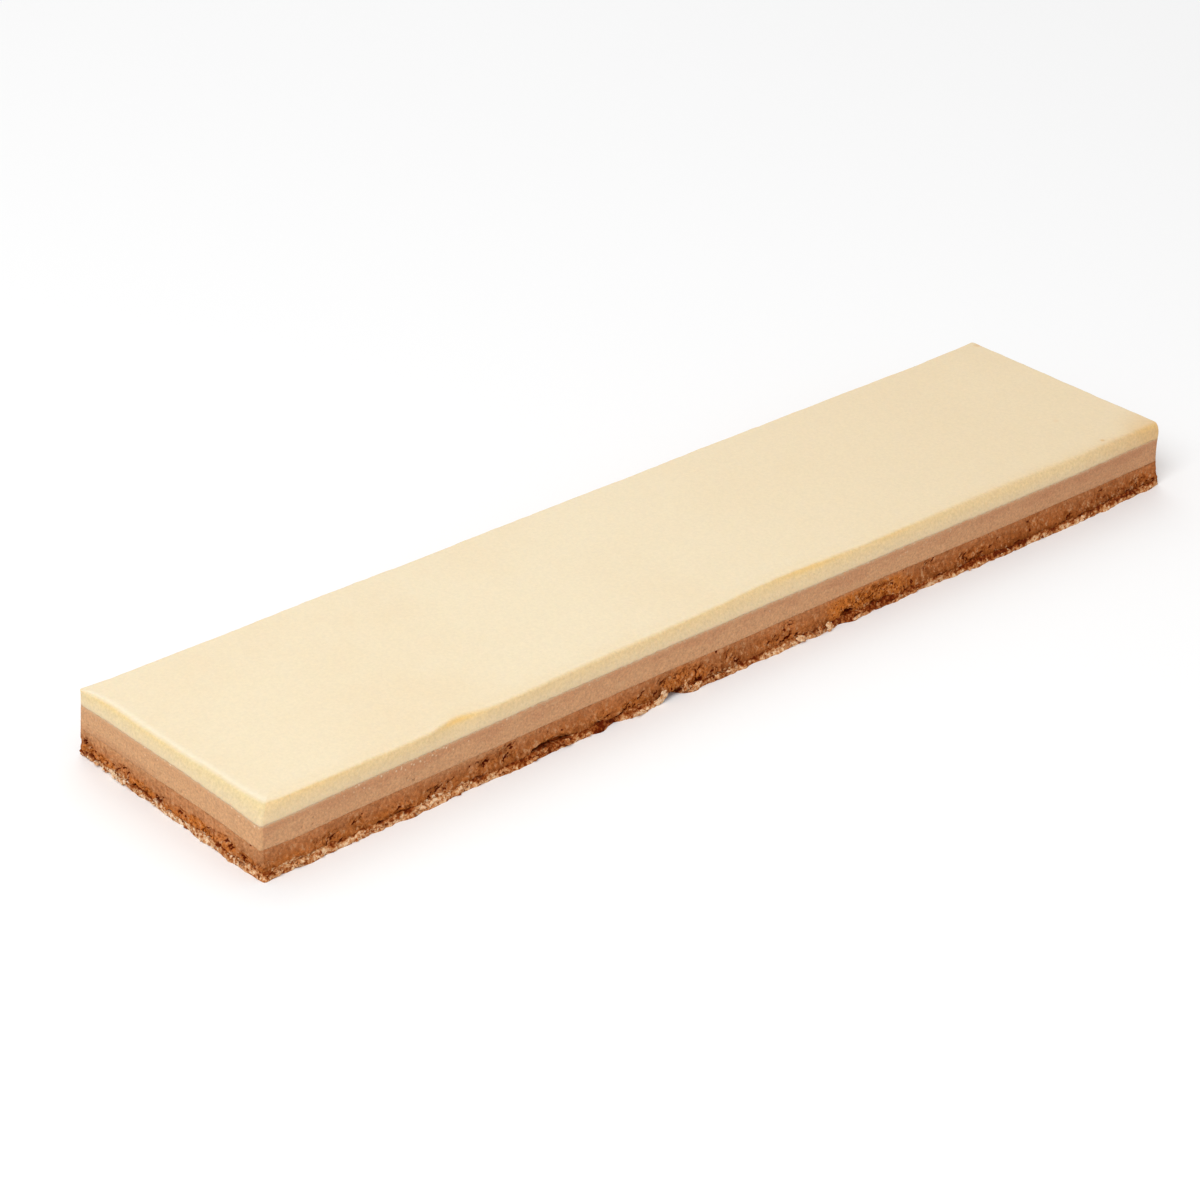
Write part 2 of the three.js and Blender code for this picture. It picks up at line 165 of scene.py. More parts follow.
def layerEdge(layer):
    patchy = between(leastFray, 1, smooth(uneven(*layer["patches"])))
    lift = np.where(onLong, 0.0, layer["endLift"] * smooth(toCorner / liftReach))
    near = layer["nearLift"] * (1 - smooth(toCorner / layer["nearReach"]))
    near = np.where(nearestCorner == 0, near, 0.0)
    return layer["top"] + lift + near + wobble(*layer["wave"]) + patchy * wobble(*layer["fray"])


def knifeCut(z):
    arch = np.maximum(0, 1 - ((along - hollow["middle"]) / hollow["reach"]) ** 2)
    sunk = np.where(onFront, hollow["depth"] * arch * np.minimum(z / hollow["footHeight"], 1), 0.0)
    arch = np.maximum(0, 1 - ((z - endHollow["middle"]) / endHollow["halfHeight"]) ** 2)
    arch = arch * (1 - smooth(faceShare * straightWidth / endHollow["reach"]))
    sunk = np.where(onRight, endHollow["depth"] * arch, sunk)
    flare = np.where(onFront, humps(flares["places"]) * (1 - smooth(z / flares["height"])), 0.0)
    return wobble(*sideCut["slow"]) + wobble(*sideCut["fine"]) + flare - sunk


def skewed(x, y, z):
    return np.stack([x - cake["skew"] / halfWidth * y, y, z], axis=-1)


def wallRings(z, out):
    # rows of points out mm proud of the leaning side, spread along each face so that the faces still meet
    reach = out + cake["lean"] * (0.5 - z / cake["height"])
    straight = [np.flatnonzero((faceOf == face) & ~atCorner) for face in range(4)]
    first = reach[:, [columns[0] for columns in straight]]
    last = reach[:, [columns[-1] for columns in straight]]
    before = last[:, (faceOf + 3) % 4]
    after = first[:, (faceOf + 1) % 4]
    push = np.where(atCorner, last[:, faceOf], reach)
    slide = np.where(atCorner, after, between(-before, after, faceShare))
    x = outline["x"] + outline["dy"] * push + outline["dx"] * slide
    y = outline["y"] - outline["dx"] * push + outline["dy"] * slide
    return skewed(x, y, z)


def spineRing(height):  # the cake's middle line, one point for each column
    reach = halfLength - halfWidth
    x = np.clip(outline["x"], -reach, reach)
    return np.stack([x, np.zeros_like(x), np.full_like(x, height)], axis=-1)


def placeObject(name, data):
    placed = bpy.data.objects.new(name, data)
    bpy.context.collection.objects.link(placed)
    return placed


def noteValue(mesh, key, values):
    mesh.attributes.new(key, "FLOAT", "POINT").data.foreach_set("value", values.ravel())


def noteVector(mesh, key, vectors):
    mesh.attributes.new(key, "FLOAT_VECTOR", "POINT").data.foreach_set("vector", vectors.ravel())


slant = math.radians(20)  # the blade's smear on the cut faces
capShare = 0.05  # the caps' first ring lies this far in from the wall
weldDistance = 1e-6


def shellObject(name, rings, fields, bottom, top, topShares=(capShare, 1.0)):
    # walls through all rings and a cap at each end that runs to the middle line at that height
    under = [between(rings[0], spineRing(bottom), share) for share in (1.0, capShare)]
    over = [between(rings[-1], spineRing(top), share) for share in topShares]
    grid = np.stack(under + list(rings) + over)
    rowCount, columnCount = grid.shape[:2]
    first = np.arange(rowCount - 1)[:, None] * columnCount
    here = first + np.arange(columnCount)
    after = first + (np.arange(columnCount) + 1) % columnCount
    quads = np.stack([here, after, after + columnCount, here + columnCount], axis=-1).reshape(-1, 4)

    mesh = bpy.data.meshes.new(name)
    mesh.from_pydata((grid.reshape(-1, 3) * mm).tolist(), [], quads.tolist())
    pad = ((len(under), len(over)), (0, 0))
    for key, field in fields.items():
        values = np.broadcast_to(field, rings.shape[:2])
        noteValue(mesh, key, np.pad(values, pad) if key == "wall" else np.pad(values, pad, mode="edge"))
    s, z = np.broadcast_to(around, grid.shape[:2]), grid[..., 2]
    smear = np.stack([s * math.cos(slant) + z * math.sin(slant), z * math.cos(slant) - s * math.sin(slant),
                      np.zeros_like(z)], axis=-1)
    outward = np.stack([outline["nx"], outline["ny"], np.zeros(columnCount)], axis=-1)
    noteVector(mesh, "smear", smear * mm)
    noteVector(mesh, "outward", np.broadcast_to(outward, grid.shape))

    # the caps meet on the middle line, where points of opposite sides become one
    welded = bmesh.new()
    welded.from_mesh(mesh)
    welded.verts.ensure_lookup_table()
    total = rowCount * columnCount
    ends = list(range(columnCount)) + list(range(total - columnCount, total))
    bmesh.ops.remove_doubles(welded, verts=[welded.verts[i] for i in ends], dist=weldDistance)
    welded.to_mesh(mesh)
    welded.free()
    return placeObject(name, mesh)


# node helpers for shapes and materials

def feed(tree, socket, value):
    if isinstance(value, bpy.types.NodeSocket):
        tree.links.new(value, socket)
    else:
        socket.default_value = value


def addNode(tree, kind, inputs=None, **settings):
    node = tree.nodes.new(kind)
    for name, value in settings.items():
        setattr(node, name, value)
    for name, value in (inputs or {}).items():
        feed(tree, node.inputs[name], value)
    return node


def maths(tree, operation, *values):
    node = tree.nodes.new("ShaderNodeMath")
    node.operation = operation
    for socket, value in zip(node.inputs, values):
        feed(tree, socket, value)
    return node.outputs[0]


def times(tree, value, factor):
    return maths(tree, "MULTIPLY", value, factor)


def plusTimes(tree, value, factor, start):
    return maths(tree, "MULTIPLY_ADD", value, factor, start)


def swayed(tree, start, value, reach):  # moved up and down by a value round 0.5
    return plusTimes(tree, maths(tree, "SUBTRACT", value, 0.5), reach, start)


def ease(tree, value, low, high):  # 0 at low and 1 at high, in either order
    node = addNode(tree, "ShaderNodeMapRange", {"Value": value, "From Min": low, "From Max": high},
                   interpolation_type="SMOOTHSTEP")
    return node.outputs[0]


def vectorMaths(tree, operation, inputs):
    return addNode(tree, "ShaderNodeVectorMath", inputs, operation=operation).outputs


def stretch(tree, vector, x, y, z):
    return vectorMaths(tree, "MULTIPLY", {0: vector, 1: (x, y, z)})[0]


def split(tree, vector):
    return addNode(tree, "ShaderNodeSeparateXYZ", {0: vector}).outputs


def noise(tree, vector, scale, detail=2.0, roughness=0.5, seed=0.0, swirl=0.0):
    inputs = {"Vector": vector, "W": seed, "Scale": scale, "Detail": detail, "Roughness": roughness,
              "Distortion": swirl}
    return addNode(tree, "ShaderNodeTexNoise", inputs, noise_dimensions="4D").outputs[0]


def cells(tree, vector, scale):
    return addNode(tree, "ShaderNodeTexVoronoi", {"Vector": vector, "Scale": scale}).outputs


def warp(tree, vector, scale, reach):  # shifted about, so that cells lose their round outlines
    shift = addNode(tree, "ShaderNodeTexNoise", {"Vector": vector, "Scale": scale}).outputs["Color"]
    return vectorMaths(tree, "MULTIPLY_ADD", {0: shift, 1: (reach, reach, reach), 2: vector})[0]


def newShapeTree(name, sockets):
    tree = bpy.data.node_groups.new(name, "GeometryNodeTree")
    tree.interface.new_socket("Geometry", in_out="INPUT", socket_type="NodeSocketGeometry")
    for label, default in sockets.items():
        kind = "NodeSocketInt" if isinstance(default, int) else "NodeSocketFloat"
        tree.interface.new_socket(label, in_out="INPUT", socket_type=kind).default_value = default
    tree.interface.new_socket("Material", in_out="INPUT", socket_type="NodeSocketMaterial")
    tree.interface.new_socket("Geometry", in_out="OUTPUT", socket_type="NodeSocketGeometry")
    return tree, tree.nodes.new("NodeGroupInput").outputs


def closeShapeTree(tree, geometry, material):
    real = addNode(tree, "GeometryNodeRealizeInstances", {"Geometry": geometry})
    painted = addNode(tree, "GeometryNodeSetMaterial", {"Geometry": real.outputs[0], "Material": material})
    tree.links.new(painted.outputs[0], tree.nodes.new("NodeGroupOutput").inputs[0])


def bakeTree(piece, tree, sizes, material):
    values = {**sizes, "Material": material}
    modifier = piece.modifiers.new(tree.name, "NODES")
    modifier.node_group = tree
    for item in tree.interface.items_tree:
        if item.in_out == "INPUT" and item.name in values:
            modifier[item.identifier] = values[item.name]
    graph = bpy.context.evaluated_depsgraph_get()
    mesh = bpy.data.meshes.new_from_object(piece.evaluated_get(graph), preserve_all_data_layers=True,
                                           depsgraph=graph)
    piece.modifiers.remove(modifier)
    piece.data = mesh
    mesh.name = piece.name
    return piece


def named(tree, name, kind="FLOAT"):
    node = addNode(tree, "GeometryNodeInputNamedAttribute", {"Name": name}, data_type=kind)
    return node.outputs["Attribute"]


def stored(tree, geometry, name, value):
    inputs = {"Geometry": geometry, "Name": name, "Value": value}
    return addNode(tree, "GeometryNodeStoreNamedAttribute", inputs, data_type="FLOAT").outputs[0]


def reliefTree():
    # grain, upright streaks, pores and torn crags, pushed along the stored outward direction
    tree, given = newShapeTree("cutFaceRelief", {
        "Grain Size": 0.001, "Grain Depth": 0.0, "Streak Width": 0.001, "Streak Depth": 0.0,
        "Pore Spacing": 0.003, "Pore Depth": 0.0, "Pore Share": 0.2,
        "Crag Size": 0.002, "Crag Depth": 0.0, "Seed": 0.0})
    place = addNode(tree, "GeometryNodeInputPosition").outputs[0]
    smear = stretch(tree, named(tree, "smear", "FLOAT_VECTOR"), 0.6, 1.0, 1.0)
    torn = named(tree, "torn")
    seed = given["Seed"]

    def perMetre(label):
        return maths(tree, "DIVIDE", 1.0, given[label])

    def swing(value, label):
        return times(tree, plusTimes(tree, value, 2.0, -1.0), given[label])

    grain = swing(noise(tree, place, perMetre("Grain Size"), 3, 0.6, seed), "Grain Depth")
    upright = stretch(tree, place, 1.0, 1.0, 0.12)
    streak = swing(noise(tree, upright, perMetre("Streak Width"), 2, 0.5, seed), "Streak Depth")

    # pores of chance size in a share of the cells
    pore = cells(tree, warp(tree, place, 500.0, 0.0015), perMetre("Pore Spacing"))
    lot = split(tree, pore["Color"])
    chosen = maths(tree, "LESS_THAN", lot[0], given["Pore Share"])
    radius = plusTimes(tree, lot[1], 0.26, 0.1)
    hole = times(tree, ease(tree, pore["Distance"], radius, times(tree, radius, 0.3)), chosen)

    # crags and small caves where the side is torn
    rough = noise(tree, smear, perMetre("Crag Size"), 5, 0.66, seed, 0.5)
    broad = noise(tree, smear, times(tree, perMetre("Crag Size"), 0.6), 3, 0.6, 9.0, 0.6)
    cave = ease(tree, broad, 0.43, 0.34)
    sunk = plusTimes(tree, cave, -1.5, plusTimes(tree, rough, 4.0, -2.0))
    crag = times(tree, sunk, given["Crag Depth"])
    gap = maths(tree, "MAXIMUM", times(tree, cave, 0.75), ease(tree, rough, 0.42, 0.3))
    # painted highlight on the crests of the torn crags
    crestHighlight = times(tree, ease(tree, rough, 0.5, 0.66), maths(tree, "SUBTRACT", 1.0, cave))

    total = maths(tree, "ADD", grain, streak)
    total = maths(tree, "SUBTRACT", total, times(tree, hole, given["Pore Depth"]))
    total = maths(tree, "ADD", total, times(tree, crag, torn))
    total = times(tree, total, named(tree, "wall"))
    push = vectorMaths(tree, "SCALE", {0: named(tree, "outward", "FLOAT_VECTOR"), "Scale": total})[0]
    # painted shade: pores, torn caves and slits are noted as pits that the materials paint dark
    pit = maths(tree, "MAXIMUM", hole, times(tree, gap, torn))
    pit = maths(tree, "MAXIMUM", pit, named(tree, "slit"))

    noted = stored(tree, given["Geometry"], "pit", pit)
    noted = stored(tree, noted, "crestHighlight", times(tree, crestHighlight, torn))
    moved = addNode(tree, "GeometryNodeSetPosition", {"Geometry": noted, "Offset": push})
    shaded = addNode(tree, "GeometryNodeSetShadeSmooth", {"Geometry": moved.outputs[0]})
    closeShapeTree(tree, shaded.outputs[0], given["Material"])
    return tree


def crumbTree():
    # ragged crumbs on points that carry their size, turn and tone, kept just above the floor
    tree, given = newShapeTree("crumbScatter", {
        "Facets": 2, "Lump Size": 0.001, "Raggedness": 0.4, "Seed": 0.0, "Floor Gap": 0.0001})
    ball = addNode(tree, "GeometryNodeMeshIcoSphere", {"Radius": 1.0, "Subdivisions": given["Facets"]})
    turn = addNode(tree, "FunctionNodeEulerToRotation", {0: named(tree, "crumbTurn", "FLOAT_VECTOR")})
    spread = addNode(tree, "GeometryNodeInstanceOnPoints", {
        "Points": given["Geometry"], "Instance": ball.outputs["Mesh"], "Rotation": turn.outputs[0],
        "Scale": named(tree, "crumbSize", "FLOAT_VECTOR")})
    real = addNode(tree, "GeometryNodeRealizeInstances", {"Geometry": spread.outputs[0]})
    place = addNode(tree, "GeometryNodeInputPosition").outputs[0]
    lump = noise(tree, place, maths(tree, "DIVIDE", 1.0, given["Lump Size"]), 3, 0.6, given["Seed"], 0.4)
    growth = times(tree, plusTimes(tree, lump, 4.0, -2.0), given["Raggedness"])
    away = vectorMaths(tree, "SUBTRACT", {0: place, 1: named(tree, "middle", "FLOAT_VECTOR")})[0]
    push = vectorMaths(tree, "SCALE", {0: away, "Scale": growth})[0]
    moved = addNode(tree, "GeometryNodeSetPosition", {"Geometry": real.outputs[0], "Offset": push})
    x, y, z = split(tree, place)
    height = maths(tree, "MAXIMUM", z, given["Floor Gap"])
    lifted = addNode(tree, "ShaderNodeCombineXYZ", {"X": x, "Y": y, "Z": height})
    grounded = addNode(tree, "GeometryNodeSetPosition",
                       {"Geometry": moved.outputs[0], "Position": lifted.outputs[0]})
    angular = addNode(tree, "GeometryNodeSetShadeSmooth",
                      {"Geometry": grounded.outputs[0], "Shade Smooth": False})
    closeShapeTree(tree, angular.outputs[0], given["Material"])
    return tree


relief = reliefTree()
crumbs = crumbTree()
print("shape trees made:", relief.name, crumbs.name)


# materials

def newMaterial(name, roughness, gloss, glow, glowRadius, glowScale):
    material = bpy.data.materials.new(name)
    material.use_nodes = True
    tree = material.node_tree
    body = tree.nodes["Principled BSDF"]
    body.inputs["Roughness"].default_value = roughness
    body.inputs["Specular IOR Level"].default_value = gloss
    body.inputs["Subsurface Weight"].default_value = glow
    body.inputs["Subsurface Radius"].default_value = glowRadius
    body.inputs["Subsurface Scale"].default_value = glowScale
    return material, tree, body


def objectPlace(tree):
    return addNode(tree, "ShaderNodeTexCoord").outputs["Object"]


def fromMesh(tree, name):
    return addNode(tree, "ShaderNodeAttribute", attribute_name=name).outputs["Fac"]


def ramp(tree, value, stops):
    node = addNode(tree, "ShaderNodeValToRGB", {"Fac": value})
    marks = node.color_ramp.elements
    while len(marks) < len(stops):
        marks.new(0.5)
    for mark, (at, color) in zip(marks, stops):
        mark.position = at
        mark.color = (*color, 1.0)
    return node.outputs["Color"]


def blendColor(tree, share, under, over, mode="MIX"):
    node = addNode(tree, "ShaderNodeMix", data_type="RGBA", blend_type=mode)
    feed(tree, node.inputs[0], share)
    feed(tree, node.inputs[6], under if isinstance(under, bpy.types.NodeSocket) else (*under, 1.0))
    feed(tree, node.inputs[7], over if isinstance(over, bpy.types.NodeSocket) else (*over, 1.0))
    return node.outputs[2]


def brush(tree, color, attribute, over, strength=1.0, mode="MIX"):  # laid on where the mesh says so
    share = fromMesh(tree, attribute)
    if strength < 1:
        share = times(tree, share, strength)
    return blendColor(tree, share, color, over, mode)


def shade(tree, color, value, depth):  # darker and lighter round a value of 0.5
    scaled = times(tree, maths(tree, "SUBTRACT", value, 0.5), depth)
    return blendColor(tree, 1.0, color, maths(tree, "ADD", scaled, 1.0), "MULTIPLY")


def specks(tree, place, shift, scale, share, outer, inner):  # small dots in a share of the cells
    dots = cells(tree, warp(tree, place, 900.0, shift), scale)
    rare = maths(tree, "LESS_THAN", dots["Color"], share)
    return times(tree, ease(tree, dots["Distance"], outer, inner), rare)


def bump(tree, body, height, strength, distance):
    node = addNode(tree, "ShaderNodeBump", {"Strength": strength, "Distance": distance, "Height": height})
    tree.links.new(node.outputs[0], body.inputs["Normal"])


creamLook = {
    "topNear": (0.84, 0.71, 0.485),
    # painted shade of the top towards its far right
    "topFarShaded": (0.81, 0.648, 0.413),
    "peach": (0.825, 0.67, 0.435),
    "edge": (0.79, 0.58, 0.295),
    "side": (0.765, 0.565, 0.305),
    "frosty": (0.75, 0.57, 0.335),
    "foot": (0.68, 0.46, 0.28),
    # painted light: the left end's side is tinted paler and cooler where the key light falls
    "leftLitTint": (0.945, 1.025, 1.07),
    "gold": (0.84, 0.54, 0.18),
    # painted highlight on the top's rim
    "rim": (0.90, 0.80, 0.60),
    "tan": (0.69, 0.43, 0.19),
    "stain": (0.70, 0.43, 0.17),
    # x, y, radius, share
    "stains": ((252.6, -59.0, 1.8, 0.8), (250.6, -28.8, 2.2, 0.2), (286.0, 60.5, 3.0, 0.5),
               (286.0, -64.0, 24.0, 0.35)),
}


def creamMaterial():
    material, tree, body = newMaterial("vanillaCream", roughness=0.42, gloss=0.4, glow=0.25,
                                       glowRadius=(1.0, 0.7, 0.4), glowScale=0.002)
    place = objectPlace(tree)
    far = split(tree, place)[0]
    onTop, drop = fromMesh(tree, "onTop"), fromMesh(tree, "drop")
    grain = noise(tree, place, 700.0, 4, 0.7)

    # the side, yellow at the shoulder and frosty below, with a painted light tint on the left end, frayed
    # at its foot and tan at the right end
    streak = noise(tree, stretch(tree, place, 1.0, 1.0, 0.1), 800.0, 3, 0.6)
    side = ramp(tree, swayed(tree, drop, streak, 0.5),
                [(0.0, creamLook["edge"]), (0.35, creamLook["side"]), (0.7, creamLook["frosty"])])
    side = brush(tree, side, "keyLitLeft", creamLook["leftLitTint"], mode="MULTIPLY")
    frayed = ease(tree, swayed(tree, drop, grain, 1.2), 0.84, 1.06)
    side = blendColor(tree, times(tree, frayed, 0.75), side, creamLook["foot"])
    blotch = noise(tree, place, 90.0, 3, 0.6, 5.0)
    tanned = ease(tree, swayed(tree, far, blotch, 0.07), 0.225, 0.29)
    side = blendColor(tree, times(tree, tanned, 0.72), side, creamLook["tan"])

    # the top, with painted shade that makes it darker and deeper towards the right where the light falls
    # off, and a few stains
    top = blendColor(tree, ease(tree, far, -0.1, 0.3), creamLook["topNear"], creamLook["topFarShaded"])
    cloud = noise(tree, place, 11.0, 4, 0.6, 2.0)
    top = blendColor(tree, ease(tree, cloud, 0.4, 0.8), top, creamLook["peach"])
    color = blendColor(tree, onTop, side, top)
    for x, y, radius, share in creamLook["stains"]:
        ends = {0: place, 1: (x * mm, y * mm, cake["height"] * mm)}
        apart = vectorMaths(tree, "DISTANCE", ends)["Value"]
        spot = times(tree, ease(tree, apart, radius * mm, 0.2 * radius * mm), share)
        color = blendColor(tree, spot, color, creamLook["stain"])
    color = brush(tree, color, "gold", creamLook["gold"])
    # painted highlight along the top's rim
    color = brush(tree, color, "rim", creamLook["rim"])
    depth = plusTimes(tree, onTop, -0.4, 0.65)
    color = shade(tree, color, grain, depth)
    tree.links.new(color, body.inputs["Base Color"])
    tree.links.new(plusTimes(tree, onTop, -0.22, 0.64), body.inputs["Roughness"])
    bump(tree, body, times(tree, grain, depth), 0.4, 0.0006)
    return material


milkLook = {
    "pink": (0.532, 0.259, 0.126),
    "tan": (0.582, 0.307, 0.152),
    "speck": (0.86, 0.68, 0.47),
    "smear": (0.62, 0.36, 0.19),
    "farShade": (0.93, 0.89, 0.88),
    # painted light: lighter and whiter on the end faces, as the key light's sheen; also the colour of milk
    # smeared over the dark layer
    "end": (0.60, 0.335, 0.165),
    "frost": (0.66, 0.43, 0.255),
    "dusk": (0.50, 0.24, 0.11),
}


def milkMaterial():
    material, tree, body = newMaterial("milkChocolateMousse", roughness=0.65, gloss=0.15, glow=0.12,
                                       glowRadius=(1.0, 0.5, 0.3), glowScale=0.0015)
    place = objectPlace(tree)
    far = split(tree, place)[0]
    drop = fromMesh(tree, "drop")
    cloud = noise(tree, stretch(tree, place, 1.0, 1.0, 2.5), 70.0, 3, 0.6, 3.0, 0.5)
    color = ramp(tree, swayed(tree, drop, cloud, 2.0), [(0.1, milkLook["pink"]), (0.6, milkLook["tan"])])
    # painted light, lighter and whiter on the end faces
    color = brush(tree, color, "endLit", milkLook["end"], 0.7)
    color = brush(tree, color, "smeared", milkLook["dusk"])
    color = blendColor(tree, ease(tree, far, 0.08, 0.24), color, milkLook["farShade"], "MULTIPLY")
    grain = noise(tree, place, 850.0, 4, 0.7, 4.0)
    color = shade(tree, color, grain, 1.35)

    # frost at the upper edge, and pale specks that are thicker there in patches
    frost = ease(tree, swayed(tree, drop, grain, 0.8), 0.1, -0.02)
    color = blendColor(tree, times(tree, frost, 0.7), color, milkLook["frost"])
    patch = ease(tree, noise(tree, place, 22.0, 2, 0.5, 12.0), 0.38, 0.55)
    often = plusTimes(tree, times(tree, ease(tree, drop, 0.5, 0.05), patch), 0.6, 0.1)
    speck = times(tree, specks(tree, place, 0.001, 430.0, 0.46, 0.28, 0.14), often)
    color = blendColor(tree, speck, color, milkLook["speck"])
    color = brush(tree, color, "fleck", milkLook["smear"])
    # painted shade, darker in pits and slits
    ragged = swayed(tree, fromMesh(tree, "pit"), grain, -1.2)
    dark = plusTimes(tree, ease(tree, ragged, 0.2, 0.9), -0.38, 1.0)
    color = blendColor(tree, 1.0, color, dark, "MULTIPLY")
    tree.links.new(color, body.inputs["Base Color"])
    bump(tree, body, grain, 0.6, 0.0006)
    return material


spongeLook = {
    "burnt": (0.12, 0.014, 0.001),
    "brown": (0.33, 0.088, 0.015),
    "tan": (0.60, 0.30, 0.13),
    "pale": (0.86, 0.64, 0.435),
    "frontWarmShade": (1.0, 0.92, 0.83),  # painted warm shade, more golden on the front
}


def spongeRamp(tree, tone):
    return ramp(tree, tone, [(0.0, spongeLook["burnt"]), (0.3, spongeLook["brown"]),
                             (0.6, spongeLook["tan"]), (0.92, spongeLook["pale"])])


def spongeMaterial():
    material, tree, body = newMaterial("sponge", roughness=0.6, gloss=0.03, glow=0.15,
                                       glowRadius=(1.0, 0.6, 0.3), glowScale=0.001)
    place = objectPlace(tree)
    grain = noise(tree, place, 560.0, 4, 0.7, 9.0)
    color = spongeRamp(tree, swayed(tree, fromMesh(tree, "tone"), grain, 2.7))
    # painted shade, burnt dark in pits and slits
    color = brush(tree, color, "pit", spongeLook["burnt"], 0.85)
    # painted warm shade on the front
    near = ease(tree, split(tree, place)[1], -0.054, -0.062)
    color = blendColor(tree, near, color, spongeLook["frontWarmShade"], "MULTIPLY")
    tree.links.new(color, body.inputs["Base Color"])
    bump(tree, body, grain, 0.8, 0.0007)
    return material


darkLook = {
    "upper": (0.445, 0.172, 0.066),
    "lower": (0.385, 0.123, 0.033),
    # brown band above the sponge, partly painted shade
    "foot": (0.20, 0.048, 0.007),
    "honey": (0.54, 0.155, 0.02),
    # painted highlight on the torn crests
    "crestHighlight": (0.64, 0.285, 0.115),
    # painted shade in pores, hollows, pits and slits; pore also colours the red-brown chips
    "pore": (0.20, 0.03, 0.002),
    "hole": (0.11, 0.007, 0.0005),
    "gritAndGlints": (0.62, 0.33, 0.165),
    "farShade": (0.92, 0.85, 0.78),
    "smudge": (0.50, 0.235, 0.105),
    "speck": (0.72, 0.44, 0.25),
}


def darkMaterial():
    material, tree, body = newMaterial("darkChocolateMousse", roughness=0.7, gloss=0.0, glow=0.08,
                                       glowRadius=(1.0, 0.4, 0.2), glowScale=0.001)
    place = objectPlace(tree)
    torn = fromMesh(tree, "torn")
    cloud = noise(tree, stretch(tree, place, 1.0, 1.0, 0.5), 150.0, 4, 0.6, 5.0, 0.5)
    color = ramp(tree, swayed(tree, fromMesh(tree, "drop"), cloud, 1.1),
                 [(0.1, darkLook["upper"]), (0.7, darkLook["lower"])])
    color = brush(tree, color, "smudge", darkLook["smudge"])
    color = brush(tree, color, "milky", milkLook["end"])
    color = brush(tree, color, "warm", darkLook["honey"], 0.7)
    # painted highlight on the torn crests
    color = brush(tree, color, "crestHighlight", darkLook["crestHighlight"], 0.45)
    color = brush(tree, color, "deepAndShaded", darkLook["farShade"], mode="MULTIPLY")
    color = shade(tree, color, fromMesh(tree, "facet"), 0.22)
    # brown band above the sponge, partly painted shade
    color = brush(tree, color, "shadedBand", darkLook["foot"])

    # fine grain, pale grit that is partly painted glints, and red-brown mottling that is strongest in the
    # torn places
    grain = noise(tree, place, 600.0, 4, 0.72, 6.0)
    color = shade(tree, color, grain, 2.0)
    mottle = noise(tree, stretch(tree, place, 1.0, 1.0, 0.8), 420.0, 4, 0.7, 7.0, 0.4)
    gritAndGlints = times(tree, ease(tree, mottle, 0.53, 0.65), plusTimes(tree, torn, 0.25, 0.5))
    color = blendColor(tree, gritAndGlints, color, darkLook["gritAndGlints"])
    chips = times(tree, ease(tree, mottle, 0.46, 0.37), plusTimes(tree, torn, 0.8, 0.22))

    # sponge crumbs that creep up from below
    crumbly = noise(tree, place, 420.0, 4, 0.7, 8.0)
    share = swayed(tree, fromMesh(tree, "crumbly"), crumbly, 2.0)
    tone = swayed(tree, 0.5, noise(tree, place, 480.0, 4, 0.7, 9.0), 3.2)
    color = blendColor(tree, ease(tree, share, 0.45, 0.65), color, spongeRamp(tree, tone))

    # painted shade in the fine pores of the porous stretch and inside the deeper hollows, and a few pale
    # specks
    fine = cells(tree, warp(tree, place, 700.0, 0.001), 620.0)
    pore = times(tree, ease(tree, fine["Distance"], 0.42, 0.2), fromMesh(tree, "porous"))
    cave = swayed(tree, fromMesh(tree, "cave"), crumbly, -2.6)
    sunk = maths(tree, "MAXIMUM", maths(tree, "MAXIMUM", pore, chips), ease(tree, cave, 0.35, 0.6))
    color = blendColor(tree, times(tree, sunk, 0.85), color, darkLook["pore"])
    speck = specks(tree, place, 0.002, 130.0, 0.12, 0.09, 0.04)
    color = blendColor(tree, times(tree, speck, 0.7), color, darkLook["speck"])
    # painted shade, near black in pits and slits
    ragged = swayed(tree, fromMesh(tree, "pit"), grain, -1.4)
    color = blendColor(tree, times(tree, ease(tree, ragged, 0.3, 0.6), 0.95), color, darkLook["hole"])
    tree.links.new(color, body.inputs["Base Color"])
    bump(tree, body, plusTimes(tree, sunk, -1.2, grain), 0.7, 0.0009)
    return material


# places where the knife tore the dark layer, along the face and up from the floor
def tear(at, up, halfLong, halfHigh, depth, slits, tilt, rough, warm=0.3):
    return {"at": at, "up": up, "halfLong": halfLong, "halfHigh": halfHigh, "depth": depth,
            "slits": slits, "tilt": tilt, "rough": rough, "warm": warm}


# single slits, holes and scratches
def mark(at, up, length, width, depth, tilt):
    return {"at": at, "up": up, "length": length, "width": width, "depth": depth, "tilt": tilt}


